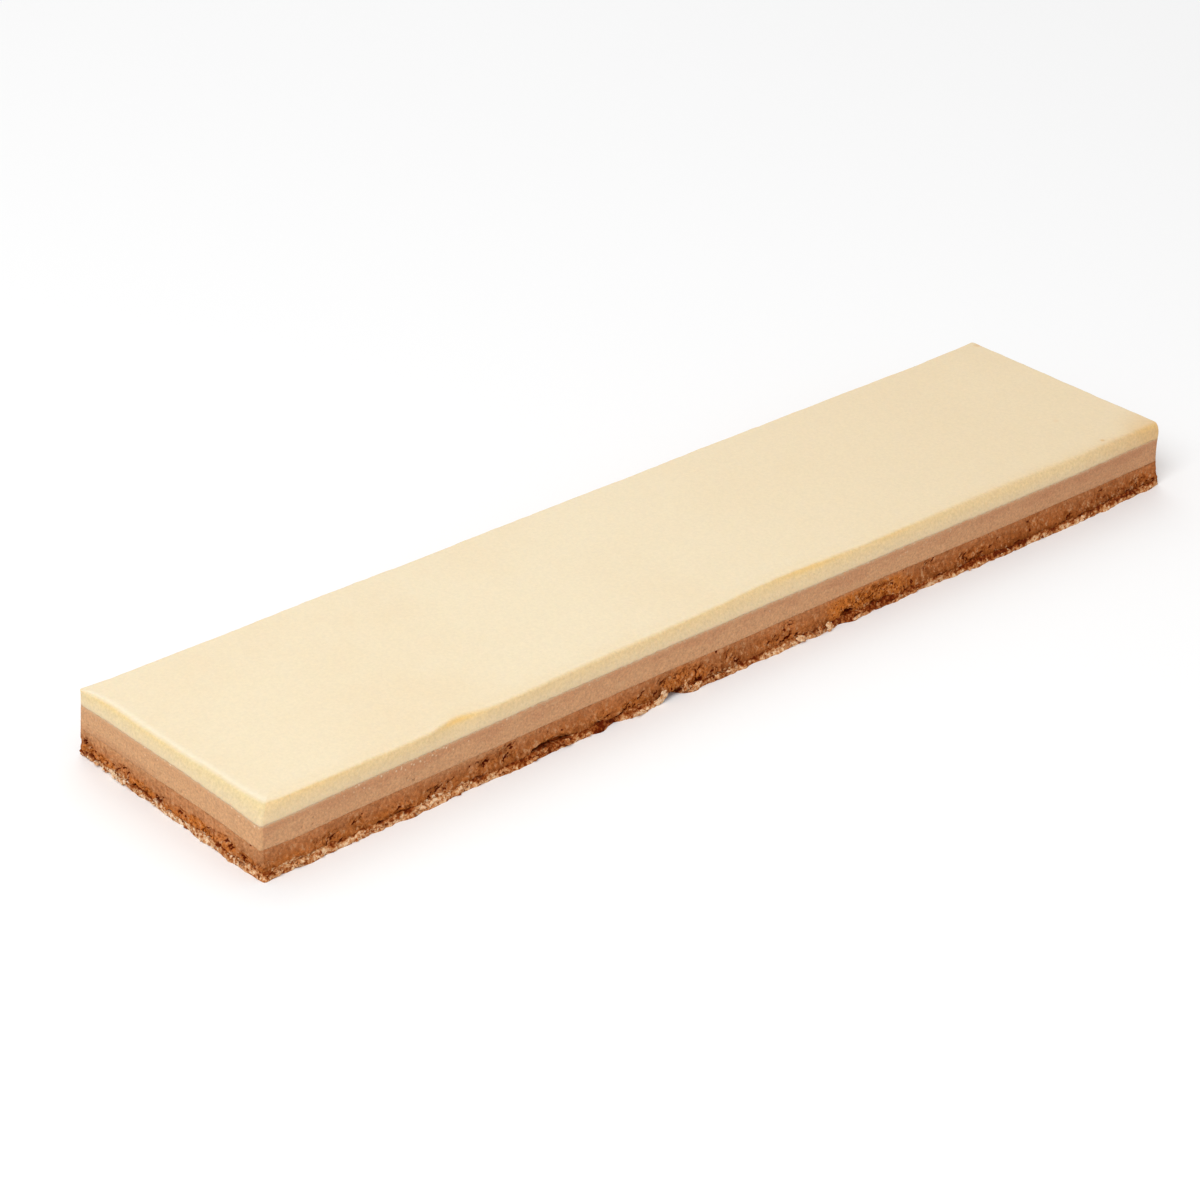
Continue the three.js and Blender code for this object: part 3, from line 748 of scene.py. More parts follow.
frontTears = [
    tear(-253, 7, 6, 3, 1, 4, 20, 0.6), tear(-239, 9, 5, 3, 0.3, 2, 20, 0.3),
    tear(-218, 3.4, 9, 2.5, 1.2, 4, 5, 0.7, 0.8), tear(-192, 6.6, 10, 3, 1.5, 5, 15, 0.7),
    tear(-164, 8.9, 6, 3.5, 1.3, 4, 20, 0.8), tear(-152, 10, 6, 5, 0.8, 4, 35, 0.8),
    tear(-126, 3.4, 13, 4, 2.4, 5, 5, 1.0, 0.5), tear(-97, 4, 7, 3, 0.6, 3, 10, 0.6),
    tear(-76, 5.5, 9, 3, 1.5, 5, 30, 0.8, 0.6), tear(-57, 10, 4, 2.5, 0.8, 2, 36, 0.6),
    tear(-45, 7.4, 14, 6, 0.9, 6, 25, 0.9, 0.6), tear(-15, 10, 5, 3, 0.5, 3, 40, 0.6),
    tear(18, 5.4, 12, 4, 1.3, 6, 10, 0.8), tear(23, 11, 5, 2.5, 0.7, 3, 30, 0.7),
    tear(62, 3.7, 7, 4, 2.2, 3, 15, 1.0, 0.6), tear(80, 6.6, 18, 7, 1, 8, 25, 1.0, 1.0),
    tear(104, 5.2, 4.5, 5, 1.2, 2, 80, 0.6, 0.6), tear(118, 11.5, 5, 2.5, 0.6, 3, 40, 0.6),
    tear(150, 6, 11, 5, 1.1, 5, 20, 0.8), tear(193, 11.5, 5, 3, 0.5, 2, 30, 0.6),
    tear(219, 4.7, 4.5, 3.5, 1.3, 2, 75, 0.5), tear(246, 12, 6, 2, 0.3, 2, 30, 0.4),
    tear(276, 6, 9, 5, 1.2, 5, 40, 0.9),
]
endTears = [
    tear(60, 7, 6, 4.5, 1.6, 5, -40, 0.9), tear(31, 8, 6, 3, 1.1, 3, -30, 0.6),
    tear(7, 5.5, 5, 3, 1.2, 2, -10, 0.7), tear(-9, 6.5, 5, 3, 1.2, 2, -10, 0.6),
    tear(-22, 6.5, 8, 3.5, 0.5, 3, -15, 0.8, 1.0), tear(-43, 8, 7, 3.5, 1.1, 5, -33, 0.8, 0.6),
    tear(-56, 5.5, 6, 3, 0.9, 2, 0, 0.7, 0.7), tear(48, 5.5, 9, 3, 0.4, 4, -30, 0.8, 0.8),
    tear(19, 5.5, 8, 3, 0.5, 4, -20, 0.9, 0.9),
]
frontMarks = [
    mark(-252, 6, 4, 1.4, 1.2, 40), mark(-248, 3.4, 4, 1.6, 1.6, 10), mark(-239, 9.5, 2.5, 1, 0.8, 70),
    mark(-226, 3.6, 5, 1.6, 1.6, 5), mark(-215, 6.2, 3, 1.3, 1.2, 30), mark(-211, 3.4, 6, 1.5, 1.5, 5),
    mark(-192, 6.2, 7, 1.1, 1.3, 15), mark(-185, 8, 6, 1.0, 1.2, 20), mark(-169, 3.6, 6, 1.6, 1.6, 5),
    mark(-164, 8.7, 6, 1.5, 1.6, 8), mark(-154, 7, 4, 1.4, 1.4, 20), mark(-153, 13.4, 3, 1.2, 1.0, 50),
    mark(-148, 12.6, 3, 1.0, 0.9, 50), mark(-133, 4.3, 14, 2.6, 2.4, -4), mark(-118, 3.8, 8, 1.8, 1.8, 5),
    mark(-128, 10.4, 3.5, 0.9, 0.9, 80), mark(-97, 3.6, 5, 1.2, 1.2, 5), mark(-85, 3.6, 6, 1.6, 1.6, 5),
    mark(-80, 5.2, 8, 1.2, 1.5, 30), mark(-71, 8.4, 7, 1.2, 1.5, 34), mark(-57, 9.8, 5, 1.1, 1.2, 36),
    mark(-63, 6.0, 5, 1.2, 1.3, 40), mark(-37, 7, 6, 1.1, 1.2, 85), mark(-36, 4.2, 5, 2.0, 1.8, 10),
    mark(-12, 5, 5, 1.6, 1.5, 10), mark(10, 6.2, 4, 1.2, 1.2, 30), mark(22, 4.8, 9, 1.4, 1.6, 8),
    mark(24, 11, 3, 1.1, 0.9, 30), mark(20, 9.5, 3, 1.0, 0.9, 40), mark(63, 4.6, 7, 2.6, 2.2, 10),
    mark(79, 3.8, 6, 2.2, 1.9, 5), mark(107, 5, 5, 1.0, 1.2, 82),
    mark(118, 11.8, 3, 1.0, 0.8, 40), mark(145, 5, 4, 1.3, 1.4, 60), mark(156, 5.8, 3.5, 1.4, 1.4, 20),
    mark(162, 7.2, 4, 1.1, 1.1, 20), mark(168, 9.6, 3, 1.2, 1.1, 10), mark(197, 9.6, 4, 0.9, 0.8, 85),
    mark(219, 4.2, 5, 1.3, 1.4, 70), mark(228, 3.9, 7, 1.2, 1.2, 3), mark(274, 4.4, 5.5, 1.4, 1.4, 65),
    mark(181, 3.8, 8, 1.2, 1.2, 3), mark(250, 3.8, 7, 1.2, 1.2, 3), mark(125, 3.8, 8, 1.2, 1.2, 3),
]
endMarks = [
    mark(63, 9, 3, 1.6, 1.6, -20), mark(61, 11, 3, 1.1, 1.0, -50), mark(57, 3.6, 5, 2.0, 1.8, 0),
    mark(37, 6.7, 5, 1.1, 1.4, -32), mark(33, 9, 5, 1.0, 1.2, -30), mark(25, 4.2, 5, 1.6, 1.6, 0),
    mark(8, 4.6, 5.5, 2.2, 2.0, 0), mark(3.5, 8, 2.5, 1.2, 1.2, -50), mark(-7.5, 5.6, 4, 1.8, 1.7, 0),
    mark(-24, 8.5, 3, 1.0, 1.0, -30), mark(-41, 7.5, 5, 1.2, 1.3, -33), mark(-45, 6, 5, 1.2, 1.4, -33),
    mark(-53, 5.6, 5, 1.8, 1.6, -10), mark(-60, 4.4, 4, 1.4, 1.4, 0), mark(54, 2.2, 4, 2.2, 1.8, 0),
    mark(17, 3.6, 3, 2.0, 1.6, 40), mark(-1, 3.4, 3, 1.8, 1.5, 50), mark(-36, 3.8, 4, 2.0, 1.6, 10),
]

# chance slits inside the tears, with their spread as shares of the tear's half sizes
looseSlit = {"length": (2.0, 5.0), "width": (0.7, 1.3), "depth": (0.7, 1.5), "tiltSpread": 18.0,
             "spreadAlong": 1.7, "spreadUp": 1.5}
slitShadeDepth = 0.9  # a slit this deep is painted fully dark inside, as shade


def slitsIn(t, number):
    slits = []
    for k in range(t["slits"]):
        roll = chance(np.arange(6) + 53 * k + 977 * number)
        sizes = [between(*looseSlit[key], r) for key, r in zip(("length", "width", "depth"), roll)]
        slits.append(mark(t["at"] + t["halfLong"] * looseSlit["spreadAlong"] * (roll[4] - 0.5),
                          t["up"] + t["halfHigh"] * looseSlit["spreadUp"] * (roll[5] - 0.5), *sizes,
                          t["tilt"] + looseSlit["tiltSpread"] * (2 * roll[3] - 1)))
    return slits


def markDepth(z, marks, side):
    depth = np.zeros_like(z)
    for m in marks:
        angle = math.radians(m["tilt"])
        near = np.flatnonzero(side & (np.abs(along - m["at"]) < m["length"]))
        da = along[near] - m["at"]
        dz = z[:, near] - m["up"]
        u = (da * math.cos(angle) + dz * math.sin(angle)) / (m["length"] / 2)
        v = (dz * math.cos(angle) - da * math.sin(angle)) / (m["width"] / 2)
        # waves bend the slit's line and make its bottom uneven
        v = v + 0.45 * np.sin(3.1 * u + m["at"]) + 0.3 * np.sin(7.7 * u + 2 * m["at"])
        ragged = 0.8 + 0.3 * np.sin(9.1 * u + 5.3 * v + m["up"])
        depth[:, near] = np.maximum(depth[:, near], m["depth"] * ragged * (1 - u ** 2 - v ** 2))
    return depth


def sidesDepth(z, longMarks, shortMarks):  # marks of the long faces and of the ends
    return np.maximum(markDepth(z, longMarks, onLong), markDepth(z, shortMarks, ~onLong))


def slitShade(cutIn):
    return np.clip(cutIn / slitShadeDepth, 0, 1)


def tearFields(z):
    # hollow depth, slit depth, roughness and warmth over the rows of a side
    depth, cutIn, rough, warm = (np.zeros_like(z) for _ in range(4))
    for tears, marks, side in ((frontTears, frontMarks, onLong), (endTears, endMarks, ~onLong)):
        slits = list(marks)
        for number, t in enumerate(tears):
            reach = ((along - t["at"]) / t["halfLong"]) ** 2 + ((z - t["up"]) / t["halfHigh"]) ** 2
            fade = np.where(side, smooth(1.6 - reach), 0.0)
            depth = np.maximum(depth, np.where(side, t["depth"] * (1 - reach), 0.0))
            rough = np.maximum(rough, t["rough"] * fade)
            warm = np.maximum(warm, t["warm"] * fade)
            slits += slitsIn(t, number)
        cutIn = np.maximum(cutIn, markDepth(z, slits, side))
    return depth, cutIn, rough, warm


knifeSteps = {"at": (-38, -12, 10, 104, 122, 197, 220, 240), "rise": 0.35, "width": 0.9}


def stepRelief():
    # the blade was set again at these places, so the facets between them stand in or out
    rise = np.zeros_like(around)
    for k, at in enumerate(knifeSteps["at"]):
        rise += (-1) ** k * knifeSteps["rise"] * smooth((along - at) / knifeSteps["width"] + 0.5)
    return np.where(onLong, rise, 0.0)


creamPiece = {
    "sideRows": 14, "roundRows": 7,
    "topInsets": (0.6, 1.3, 2.2, 3.4, 5.5, 9.0), "topShares": (0.2, 0.5, 1.0),
    # four values go round the faces from the front, or round the corners from the near left one
    "inset": (2.3, 0.2, 1.2, 1.9), "bow": (0.2, 0.6, 0.4, 0.2),
    "cornerInset": ((3.2, 2.8), (0.3, 0), (0.2, 0.2), (-0.7, 4.1)),  # where each face starts and ends
    "cornerBow": (0.2, 0.75, 0.6, 0.85), "cornerReach": (14, 14, 14, 22),
    # the shoulder line wanders, is a little ragged and was wiped back along the front: place, reach, inset
    "wander": (0.35, 64, 11), "ragged": (0.2, 6, 23), "raggedFine": (0.1, 2.4, 24),
    "wiped": ((-182, 12, 3.4), (-175, 75, -1.3), (20, 42, 3.2), (190, 90, 1.6)),
    "wipedEnd": 1.1, "wipedEndFrom": -10, "wipedEndTo": 45,
    "softBow": 0.75, "softFrom": 60, "softTo": 200,  # the shoulder softens towards the right
    "overhang": 0.8, "overhangReach": 35, "overhangHeight": 0.7,  # bulge of the right end near the front
    "roundStart": 0.86, "radius": 1.0,
    "lip": 0.03, "leftLip": 0.1, "lipAt": 1.4, "lipReach": 1.3, "lipFrom": 4,  # a faint raised rim
    # half width of the step from the side's colour to the top's,
    # and soft places with their place along the front, reach and share
    "crispEdge": 0.7, "softEdge": 2.7, "softElsewhere": 0.3, "softWander": (0.15, 9, 22),
    "softPlaces": ((-95, 50, 0.85), (-186, 20, 0.7), (-228, 14, 0.4), (62, 14, 0.35)),
    "shadedRim": 0.25, "shadedReach": 5.0,  # the top's front rim takes on some of the side's colour
    # yellow where the blade wiped the shoulder, at a share of the drop and its reach
    "goldFront": ((-181, 10, 0.9), (-262, 20, 0.2), (38, 22, 0.6), (95, 12, 0.3), (285, 14, 0.4)),
    "goldLeft": ((45, 12, 0.35), (10, 16, 0.2)), "goldElsewhere": 0.25, "goldPatches": (40, 17),
    "goldDrop": (0.1, 0.14),
    # painted highlight: a pale line on the top's rim, with its place and reach
    "highlightLeft": 0.6, "highlightFront": 0.18, "highlightRim": (1.2, 1.6),
    "leftLitFade": 0.6, "softDrop": 0.3,  # painted light: paler and cooler on the left end where the key light falls, and less yellow where the shoulder is soft
    "grainFade": 4,
    "relief": {"Grain Size": 0.0012, "Grain Depth": 0.0001, "Streak Width": 0.001, "Streak Depth": 0.00012,
               "Pore Spacing": 0.006, "Pore Depth": 0.0003, "Pore Share": 0.05, "Seed": 1.0},
}


def towardsCorners(even, cornerValues):  # runs to another value at the corners
    reach = np.array(creamPiece["cornerReach"])[nearestCorner]
    share = np.clip(toCorner / reach, 0, 1)
    return between(cornerValues, even, share * (2 - share))


def shoulderInset():
    reach = creamPiece["wipedEndTo"] - creamPiece["wipedEndFrom"]
    wipedEnd = creamPiece["wipedEnd"] * smooth((-along - creamPiece["wipedEndFrom"]) / reach)
    even = np.array(creamPiece["inset"])[faceOf] + wobble(*creamPiece["wander"])
    even = even + np.where(onFront, humps(creamPiece["wiped"]), np.where(onLeft, wipedEnd, 0.0))
    even = even + wobble(*creamPiece["ragged"]) + wobble(*creamPiece["raggedFine"])
    return towardsCorners(even, np.array(creamPiece["cornerInset"])[faceOf, atFaceEnd])


def shoulderSoftness():
    reach = creamPiece["softTo"] - creamPiece["softFrom"]
    return np.where(onFront, smooth((along - creamPiece["softFrom"]) / reach), 0.0)


def goldLine():
    elsewhere = creamPiece["goldElsewhere"] * smooth(uneven(*creamPiece["goldPatches"]))
    left = np.where(onLeft, humps(creamPiece["goldLeft"]), elsewhere)
    return np.where(onFront, humps(creamPiece["goldFront"]), left)


def makeCream():
    floor, inset, softness = layerEdge(milkTop), shoulderInset(), shoulderSoftness()
    bow = between(np.array(creamPiece["bow"])[faceOf], creamPiece["softBow"], softness)
    bow = towardsCorners(bow, np.array(creamPiece["cornerBow"])[nearestCorner])
    rise = cake["height"] - floor

    # a curve up the side, a second one round the shoulder, and the rim of the top
    t = np.linspace(0, creamPiece["roundStart"], creamPiece["sideRows"] + 1)[:, None]
    sideUp = rise * (t * (1 - t) * (1 + bow) + t ** 2)
    sideIn = inset * (t * (1 - t) * (1 - bow) + t ** 2)
    t = np.linspace(0, 1, creamPiece["roundRows"] + 1)[1:, None]
    roundUp = between(rise, sideUp[-1], (1 - t) ** 2)
    roundIn = between(inset, sideIn[-1], (1 - t) ** 2) + t ** 2 * creamPiece["radius"]
    rim = np.array(creamPiece["topInsets"])[:, None]
    lip = np.where(onLeft, creamPiece["leftLip"], creamPiece["lip"])
    lip = lip * smooth(toCorner / creamPiece["lipFrom"])
    topUp = rise + lip * hump(rim, creamPiece["lipAt"], creamPiece["lipReach"])
    topIn = inset + creamPiece["radius"] + rim

    up = np.concatenate([sideUp, roundUp, topUp])
    inwards = np.concatenate([sideIn, roundIn, topIn])
    bulge = creamPiece["overhang"] * (1 - smooth(faceShare * straightWidth / creamPiece["overhangReach"]))
    bulge = np.where(onRight, bulge, 0.0) * smooth(up / rise / creamPiece["overhangHeight"])
    z = floor + up
    out = knifeCut(z) - inwards + bulge

    # where the side's colour turns into the top's, the yellow line and the painted highlight on the rim
    drop = np.clip(1 - up / rise, 0, 1)
    soft = np.where(onFront, humps(creamPiece["softPlaces"]), creamPiece["softElsewhere"])
    soft = np.clip(np.maximum(softness, soft + wobble(*creamPiece["softWander"])), 0, 1)
    step = between(creamPiece["crispEdge"], creamPiece["softEdge"], soft)
    onTop = smooth((inwards - inset - drop * rise) / step / 2 + 0.5)
    shaded = creamPiece["shadedRim"] * hump(inwards - inset, 0, creamPiece["shadedReach"])
    onTop = onTop * (1 - np.where(onFront, shaded, 0.0))
    gold = goldLine() * hump(drop, *creamPiece["goldDrop"]) * (1 - onTop)
    highlightFront = np.where(onFront, creamPiece["highlightFront"] * (1 - softness), 0.0)
    pale = np.zeros_like(z)
    paleShare = np.where(onLeft, creamPiece["highlightLeft"], highlightFront)
    pale[-len(rim):] = hump(rim, *creamPiece["highlightRim"]) * paleShare
    grainy = smooth((1 - onTop) * smooth(drop * creamPiece["grainFade"]))
    fields = {"drop": np.maximum(drop, creamPiece["softDrop"] * softness), "onTop": onTop, "gold": gold,
              "rim": pale, "keyLitLeft": np.where(onLeft, 1 - creamPiece["leftLitFade"] * drop, 0.0),
              "torn": 0 * z, "slit": 0 * z, "wall": grainy}
    piece = shellObject("cream", wallRings(z, out), fields, milkTop["top"], cake["height"],
                        creamPiece["topShares"])
    return bakeTree(piece, relief, creamPiece["relief"], creamMaterial())


milkPiece = {
    "rows": 27,
    "marks": [mark(-206, 17, 2.2, 1.2, 0.8, 20), mark(-210, 18.5, 1.6, 1, 0.7, 40),
              mark(-268, 18.5, 2.4, 1, 0.7, 60), mark(-262, 17.5, 2, 1, 0.6, 60),
              mark(-262, 20.5, 2.4, 1, 0.6, 60), mark(-140, 23.2, 26, 0.9, 0.3, 4),
              mark(-134, 24.6, 22, 0.8, 0.25, 6), mark(-120, 22.6, 16, 0.9, 0.3, -5),
              mark(-31, 17.3, 1.8, 1.1, 0.8, 30), mark(72, 19, 1.6, 1, 0.7, 30),
              mark(108, 17.5, 1.8, 1, 0.7, 30), mark(112, 18.6, 1.4, 0.9, 0.6, 10)],
    "endMarks": [mark(5, 19.5, 1.8, 1.1, 0.8, -30), mark(0, 18, 2, 1, 0.7, -30),
                 mark(60, 19, 2.2, 1.1, 0.8, -30)],
    # pale flecks: place along the front, height, half length, half height
    "flecks": ((-84, 18.6, 3.5, 1.2), (-77, 19.4, 3, 1), (-71, 18.2, 1, 2), (60, 24.2, 1.2, 0.9),
               (-166, 21, 0.8, 0.8), (-140, 25.4, 9, 0.5), (-128, 23.8, 10, 0.45)),
    "fleckShare": 0.75, "fleckBreaks": (1.3, 85),
    # the knife smeared milk and dark chocolate into each other towards the back of the left end
    "smearFrom": 2, "smearRun": 16, "smearHeight": 5.0, "smearShare": 0.8,
    "relief": {"Grain Size": 0.0015, "Grain Depth": 0.00014, "Streak Width": 0.0015, "Streak Depth": 0.0001,
               "Pore Spacing": 0.0046, "Pore Depth": 0.0003, "Pore Share": 0.03, "Seed": 2.0},
}


def smearedEnd():
    return np.where(onLeft, smooth((along - milkPiece["smearFrom"]) / milkPiece["smearRun"]), 0.0)


def makeMilk():
    low, high = layerEdge(darkTop), layerEdge(milkTop)
    share = np.linspace(0, 1, milkPiece["rows"] + 1)[:, None]
    z = between(low, high, share)
    cutIn = sidesDepth(z, milkPiece["marks"], milkPiece["endMarks"])
    fleck = np.zeros_like(z)
    for at, up, halfLong, halfHigh in milkPiece["flecks"]:
        spot = hump(along, at, halfLong) * hump(z, up, halfHigh)
        fleck = np.maximum(fleck, np.where(onFront, spot, 0.0))
    fleck = milkPiece["fleckShare"] * fleck * smooth(0.5 + uneven(*milkPiece["fleckBreaks"]))
    smeared = milkPiece["smearShare"] * smearedEnd() * smooth(1 - (z - low) / milkPiece["smearHeight"])
    fields = {"drop": 1 - share, "torn": 0 * z, "slit": slitShade(cutIn), "wall": 1.0, "smeared": smeared,
              "fleck": fleck, "endLit": np.where(onLong, 0.0, 1.0)}
    rings = wallRings(z, knifeCut(z) - cutIn)
    piece = shellObject("milkLayer", rings, fields, darkTop["top"], milkTop["top"])
    return bakeTree(piece, relief, milkPiece["relief"], milkMaterial())


darkPiece = {
    "rows": 31, "groove": 0.2, "grooveHeight": 1.2,
    "tearCalm": 2, "slitCalm": 0.8,  # tears and slits fade out over this much below the layer's top
    "tornPatches": (13, 71), "tornEdge": (0.4, 7, 73),  # ragged patches that reach up from the foot
    # an orange stretch of the front that is porous all over, with how it starts, ends and fades upwards
    "porousFrom": 42, "porousTo": 106, "porousStart": 14, "porousEnd": 10, "porousFade": 2.5,
    # warm foot of the left part of the front and of the ends
    "warmTo": -190, "warmRun": 50, "warmLeft": 0.4, "warmEnds": 0.65, "warmHeight": 8, "warmFade": 3,
    "warmEdge": (0.5, 8, 76),
    "smudgeAt": -177, "smudgeReach": 24, "smudgeDepth": 4.0, "smudgeShare": 0.8,  # milk smeared down
    "paleEnds": 12.0, "paleShare": 0.75,  # depth of the paler top of the ends
    "milkyDepth": 4.5, "milkyShare": 0.3,  # milk smeared over the back half of the left end
    # brown band above the sponge, partly real colour and partly painted shade where the dark layer meets
    # the sponge, stronger from here on
    "bandFrom": 112, "bandRun": 25, "bandHeight": 0.26, "bandEdge": (0.08, 6, 75),
    "deepFrom": 95, "deepRun": 30, "deepMiddle": ((-10, 40, 0.4),),  # deeper colour on the right half, partly painted shade where the light falls off
    "facets": (0.5, 15, 77),  # tone of the blade's facets
    "caveShadeFrom": 1.2, "caveShadeRun": 1.0,  # hollows deeper than this are painted dark inside, as shade
    "relief": {"Grain Size": 0.0013, "Grain Depth": 0.00018, "Streak Width": 0.002, "Streak Depth": 0.00012,
               "Pore Spacing": 0.0032, "Pore Depth": 0.0006, "Pore Share": 0.1,
               "Crag Size": 0.0019, "Crag Depth": 0.0005, "Seed": 3.0},
}


def porousStretch(below):
    start = smooth((along - darkPiece["porousFrom"]) / darkPiece["porousStart"])
    end = smooth((darkPiece["porousTo"] - along) / darkPiece["porousEnd"])
    return np.where(onLong, start * end, 0.0) * smooth(below / darkPiece["porousFade"])


def warmFoot(z):
    left = darkPiece["warmLeft"] * (1 - smooth((along - darkPiece["warmTo"]) / darkPiece["warmRun"]))
    height = (darkPiece["warmHeight"] - z) / darkPiece["warmFade"] + wobble(*darkPiece["warmEdge"])
    return np.where(onLong, left, darkPiece["warmEnds"]) * smooth(height)


def smudgedTop(below):
    smudge = hump(along, darkPiece["smudgeAt"], darkPiece["smudgeReach"])
    smudge = np.where(onFront, smudge, 0.0) * smooth(1 - below / darkPiece["smudgeDepth"])
    ends = darkPiece["paleShare"] * smooth(1.1 - below / darkPiece["paleEnds"])
    return darkPiece["smudgeShare"] * np.where(onLong, smudge, ends)


def brownShadedBand(share):
    height = darkPiece["bandHeight"]
    shadedBand = 0.25 + 0.55 * smooth((along - darkPiece["bandFrom"]) / darkPiece["bandRun"])
    return np.where(onLong, shadedBand, 0.0) * smooth((height - share + wobble(*darkPiece["bandEdge"])) / height)


def makeDark():
    low, high = layerEdge(spongeTop), layerEdge(darkTop)
    share = np.linspace(0, 1, darkPiece["rows"] + 1)[:, None]
    z = between(low, high, share)
    below = high - z
    depth, cutIn, rough, warm = tearFields(z)
    calm = smooth(below / darkPiece["tearCalm"])
    depth = depth * calm
    cutIn = cutIn * smooth(below / darkPiece["slitCalm"])
    groove = 1 - smooth((z - low) / darkPiece["grooveHeight"])
    out = knifeCut(z) + stepRelief() * calm - depth - cutIn - darkPiece["groove"] * groove

    patchy = 0.3 + 0.65 * smooth(0.35 + uneven(*darkPiece["tornPatches"]))
    ragged = patchy * smooth(1.45 - 2.3 * share + wobble(*darkPiece["tornEdge"]))
    torn = np.maximum(rough, ragged) * calm
    porous = porousStretch(below)
    warm = np.maximum(np.maximum(warm, porous), warmFoot(z))
    porous = np.maximum(0.5 * torn, porous * smooth(1.3 - share))
    deepAndShaded = np.maximum(smooth((along - darkPiece["deepFrom"]) / darkPiece["deepRun"]),
                      humps(darkPiece["deepMiddle"]))
    milky = darkPiece["milkyShare"] * smearedEnd() * smooth(1 - below / darkPiece["milkyDepth"])
    fields = {"drop": 1 - share, "shadedBand": brownShadedBand(share), "milky": milky, "torn": torn,
              "slit": slitShade(cutIn), "warm": warm, "wall": 1.0, "porous": porous,
              "smudge": smudgedTop(below), "deepAndShaded": np.where(onLong, deepAndShaded, 0.0),
              "facet": 0.5 + wobble(*darkPiece["facets"]) * calm, "crumbly": crumblyFoot(z),
              "cave": np.clip((depth - darkPiece["caveShadeFrom"]) / darkPiece["caveShadeRun"], 0, 1)}
    piece = shellObject("darkLayer", wallRings(z, out), fields, spongeTop["top"], darkTop["top"])
    return bakeTree(piece, relief, darkPiece["relief"], darkMaterial())


spongePiece = {
    "rows": 14, "stops": (0.0, 0.36, 0.72, 1.0), "cornerCalm": 0.4,
    # how far the foot and the two bulges above it stand out, and their jagged outline
    "foot": 0.3, "footSpread": (0.8, 8, 19), "lowBulge": (0.7, 8, 20), "highBulge": (0.7, 8, 21),
    "jagged": (0.45, 2.6, 91),
    "leftIn": 1.6, "leftInFrom": -50, "leftInTo": 40,  # the left end's foot draws in towards the back
    # places along the front where the sponge was torn away, their reach and depth
    "gaps": ((-128, 4, 1.2), (-89, 5, 2.6), (-53, 5.5, 8.0), (58, 5, 1.0)),
    # how much of the sponge shows below the dark layer, along the front and along the left end
    "showsLong": ((-290, 0.9), (-262, 0.9), (-252, 0.6), (-245, 0.45), (-238, 0.8), (-222, 0.5),
                  (-210, 0.7), (-196, 0.9), (-178, 0.9), (-170, 0.5), (-158, 0.6), (-148, 0.3),
                  (-138, 0.1), (-116, 0.15), (-108, 0.35), (-100, 0.1), (-84, 0.05), (-80, 0.4),
                  (-62, 0.4), (-57, 0.05), (-48, 0.1), (-43, 0.6), (-20, 0.65), (0, 0.4), (12, 0.45),
                  (30, 0.4), (50, 0.3), (56, 0.05), (72, 0.1), (84, 0.25), (104, 0.25), (130, 0.4),
                  (150, 0.5), (175, 0.42), (200, 0.48), (240, 0.45), (262, 0.3), (290, 0.22)),
    "showsEnd": ((-66, 0.8), (-50, 0.75), (-44, 0.6), (-36, 0.55), (-28, 0.75), (-22, 0.7), (-14, 0.75),
                 (-9, 0.6), (-3, 0.75), (0, 0.95), (10, 0.95), (13, 0.65), (20, 0.6), (27, 0.75), (31, 1.0),
                 (43, 1.0), (47, 0.65), (55, 0.45), (66, 0.5)),
    # crumbs creep up the dark layer where more of the sponge shows
    "creepHeight": 5, "creepSoft": 1.6, "creepEdge": (1.1, 5, 83), "creepFine": (0.6, 1.9, 84),
    # paler and browner stretches, and tones from 0 burnt to 1 pale
    "patches": (0.16, 15, 86), "finePatches": (0.1, 5, 81),
    "hiddenTone": 0.16, "longTone": 0.56, "endTone": 0.66,
    "tornPatches": (6, 82), "slitShare": 0.8,
    "relief": {"Grain Size": 0.0012, "Grain Depth": 0.00025, "Streak Width": 0.003, "Streak Depth": 0.0002,
               "Pore Spacing": 0.0024, "Pore Depth": 0.0009, "Pore Share": 0.18,
               "Crag Size": 0.0018, "Crag Depth": 0.00045, "Seed": 4.0},
}


def spongeReach(column, share):
    # the same foot, bulges and groove as the solid at these columns, blended over the height
    calm = np.where(atCorner, spongePiece["cornerCalm"], 1.0)
    reach = spongePiece["leftInTo"] - spongePiece["leftInFrom"]
    drawnIn = spongePiece["leftIn"] * smooth((along - spongePiece["leftInFrom"]) / reach)
    drawnIn = np.where(onLeft, drawnIn, 0.0)
    jagged = wobble(*spongePiece["jagged"])
    foot = spongePiece["foot"] + wobble(*spongePiece["footSpread"]) + jagged
    lower = wobble(*spongePiece["lowBulge"]) + jagged
    upper = wobble(*spongePiece["highBulge"])
    gap = np.where(onFront, humps(spongePiece["gaps"]), 0.0)
    groove = np.full_like(around, -darkPiece["groove"])
    levels = (foot * calm - drawnIn - gap, lower * calm - gap, upper * calm - gap, groove)
    values = [level[column] for level in levels]
    stops = spongePiece["stops"]
    out = values[0] + 0 * share
    for k in range(3):
        step = smooth((share - stops[k]) / (stops[k + 1] - stops[k]))
        out = out + (values[k + 1] - values[k]) * step
    return out


def spongeShows():
    long = np.interp(along, *zip(*spongePiece["showsLong"]))
    end = np.interp(along, *zip(*spongePiece["showsEnd"]))
    return np.where(onLong, long, end)


def spongePatches():
    return wobble(*spongePiece["patches"]) + wobble(*spongePiece["finePatches"])


def crumblyFoot(z):
    ragged = wobble(*spongePiece["creepEdge"]) + wobble(*spongePiece["creepFine"])
    height = spongeShows() * spongePiece["creepHeight"] + ragged
    return smooth((height - z) / spongePiece["creepSoft"] + 0.5)


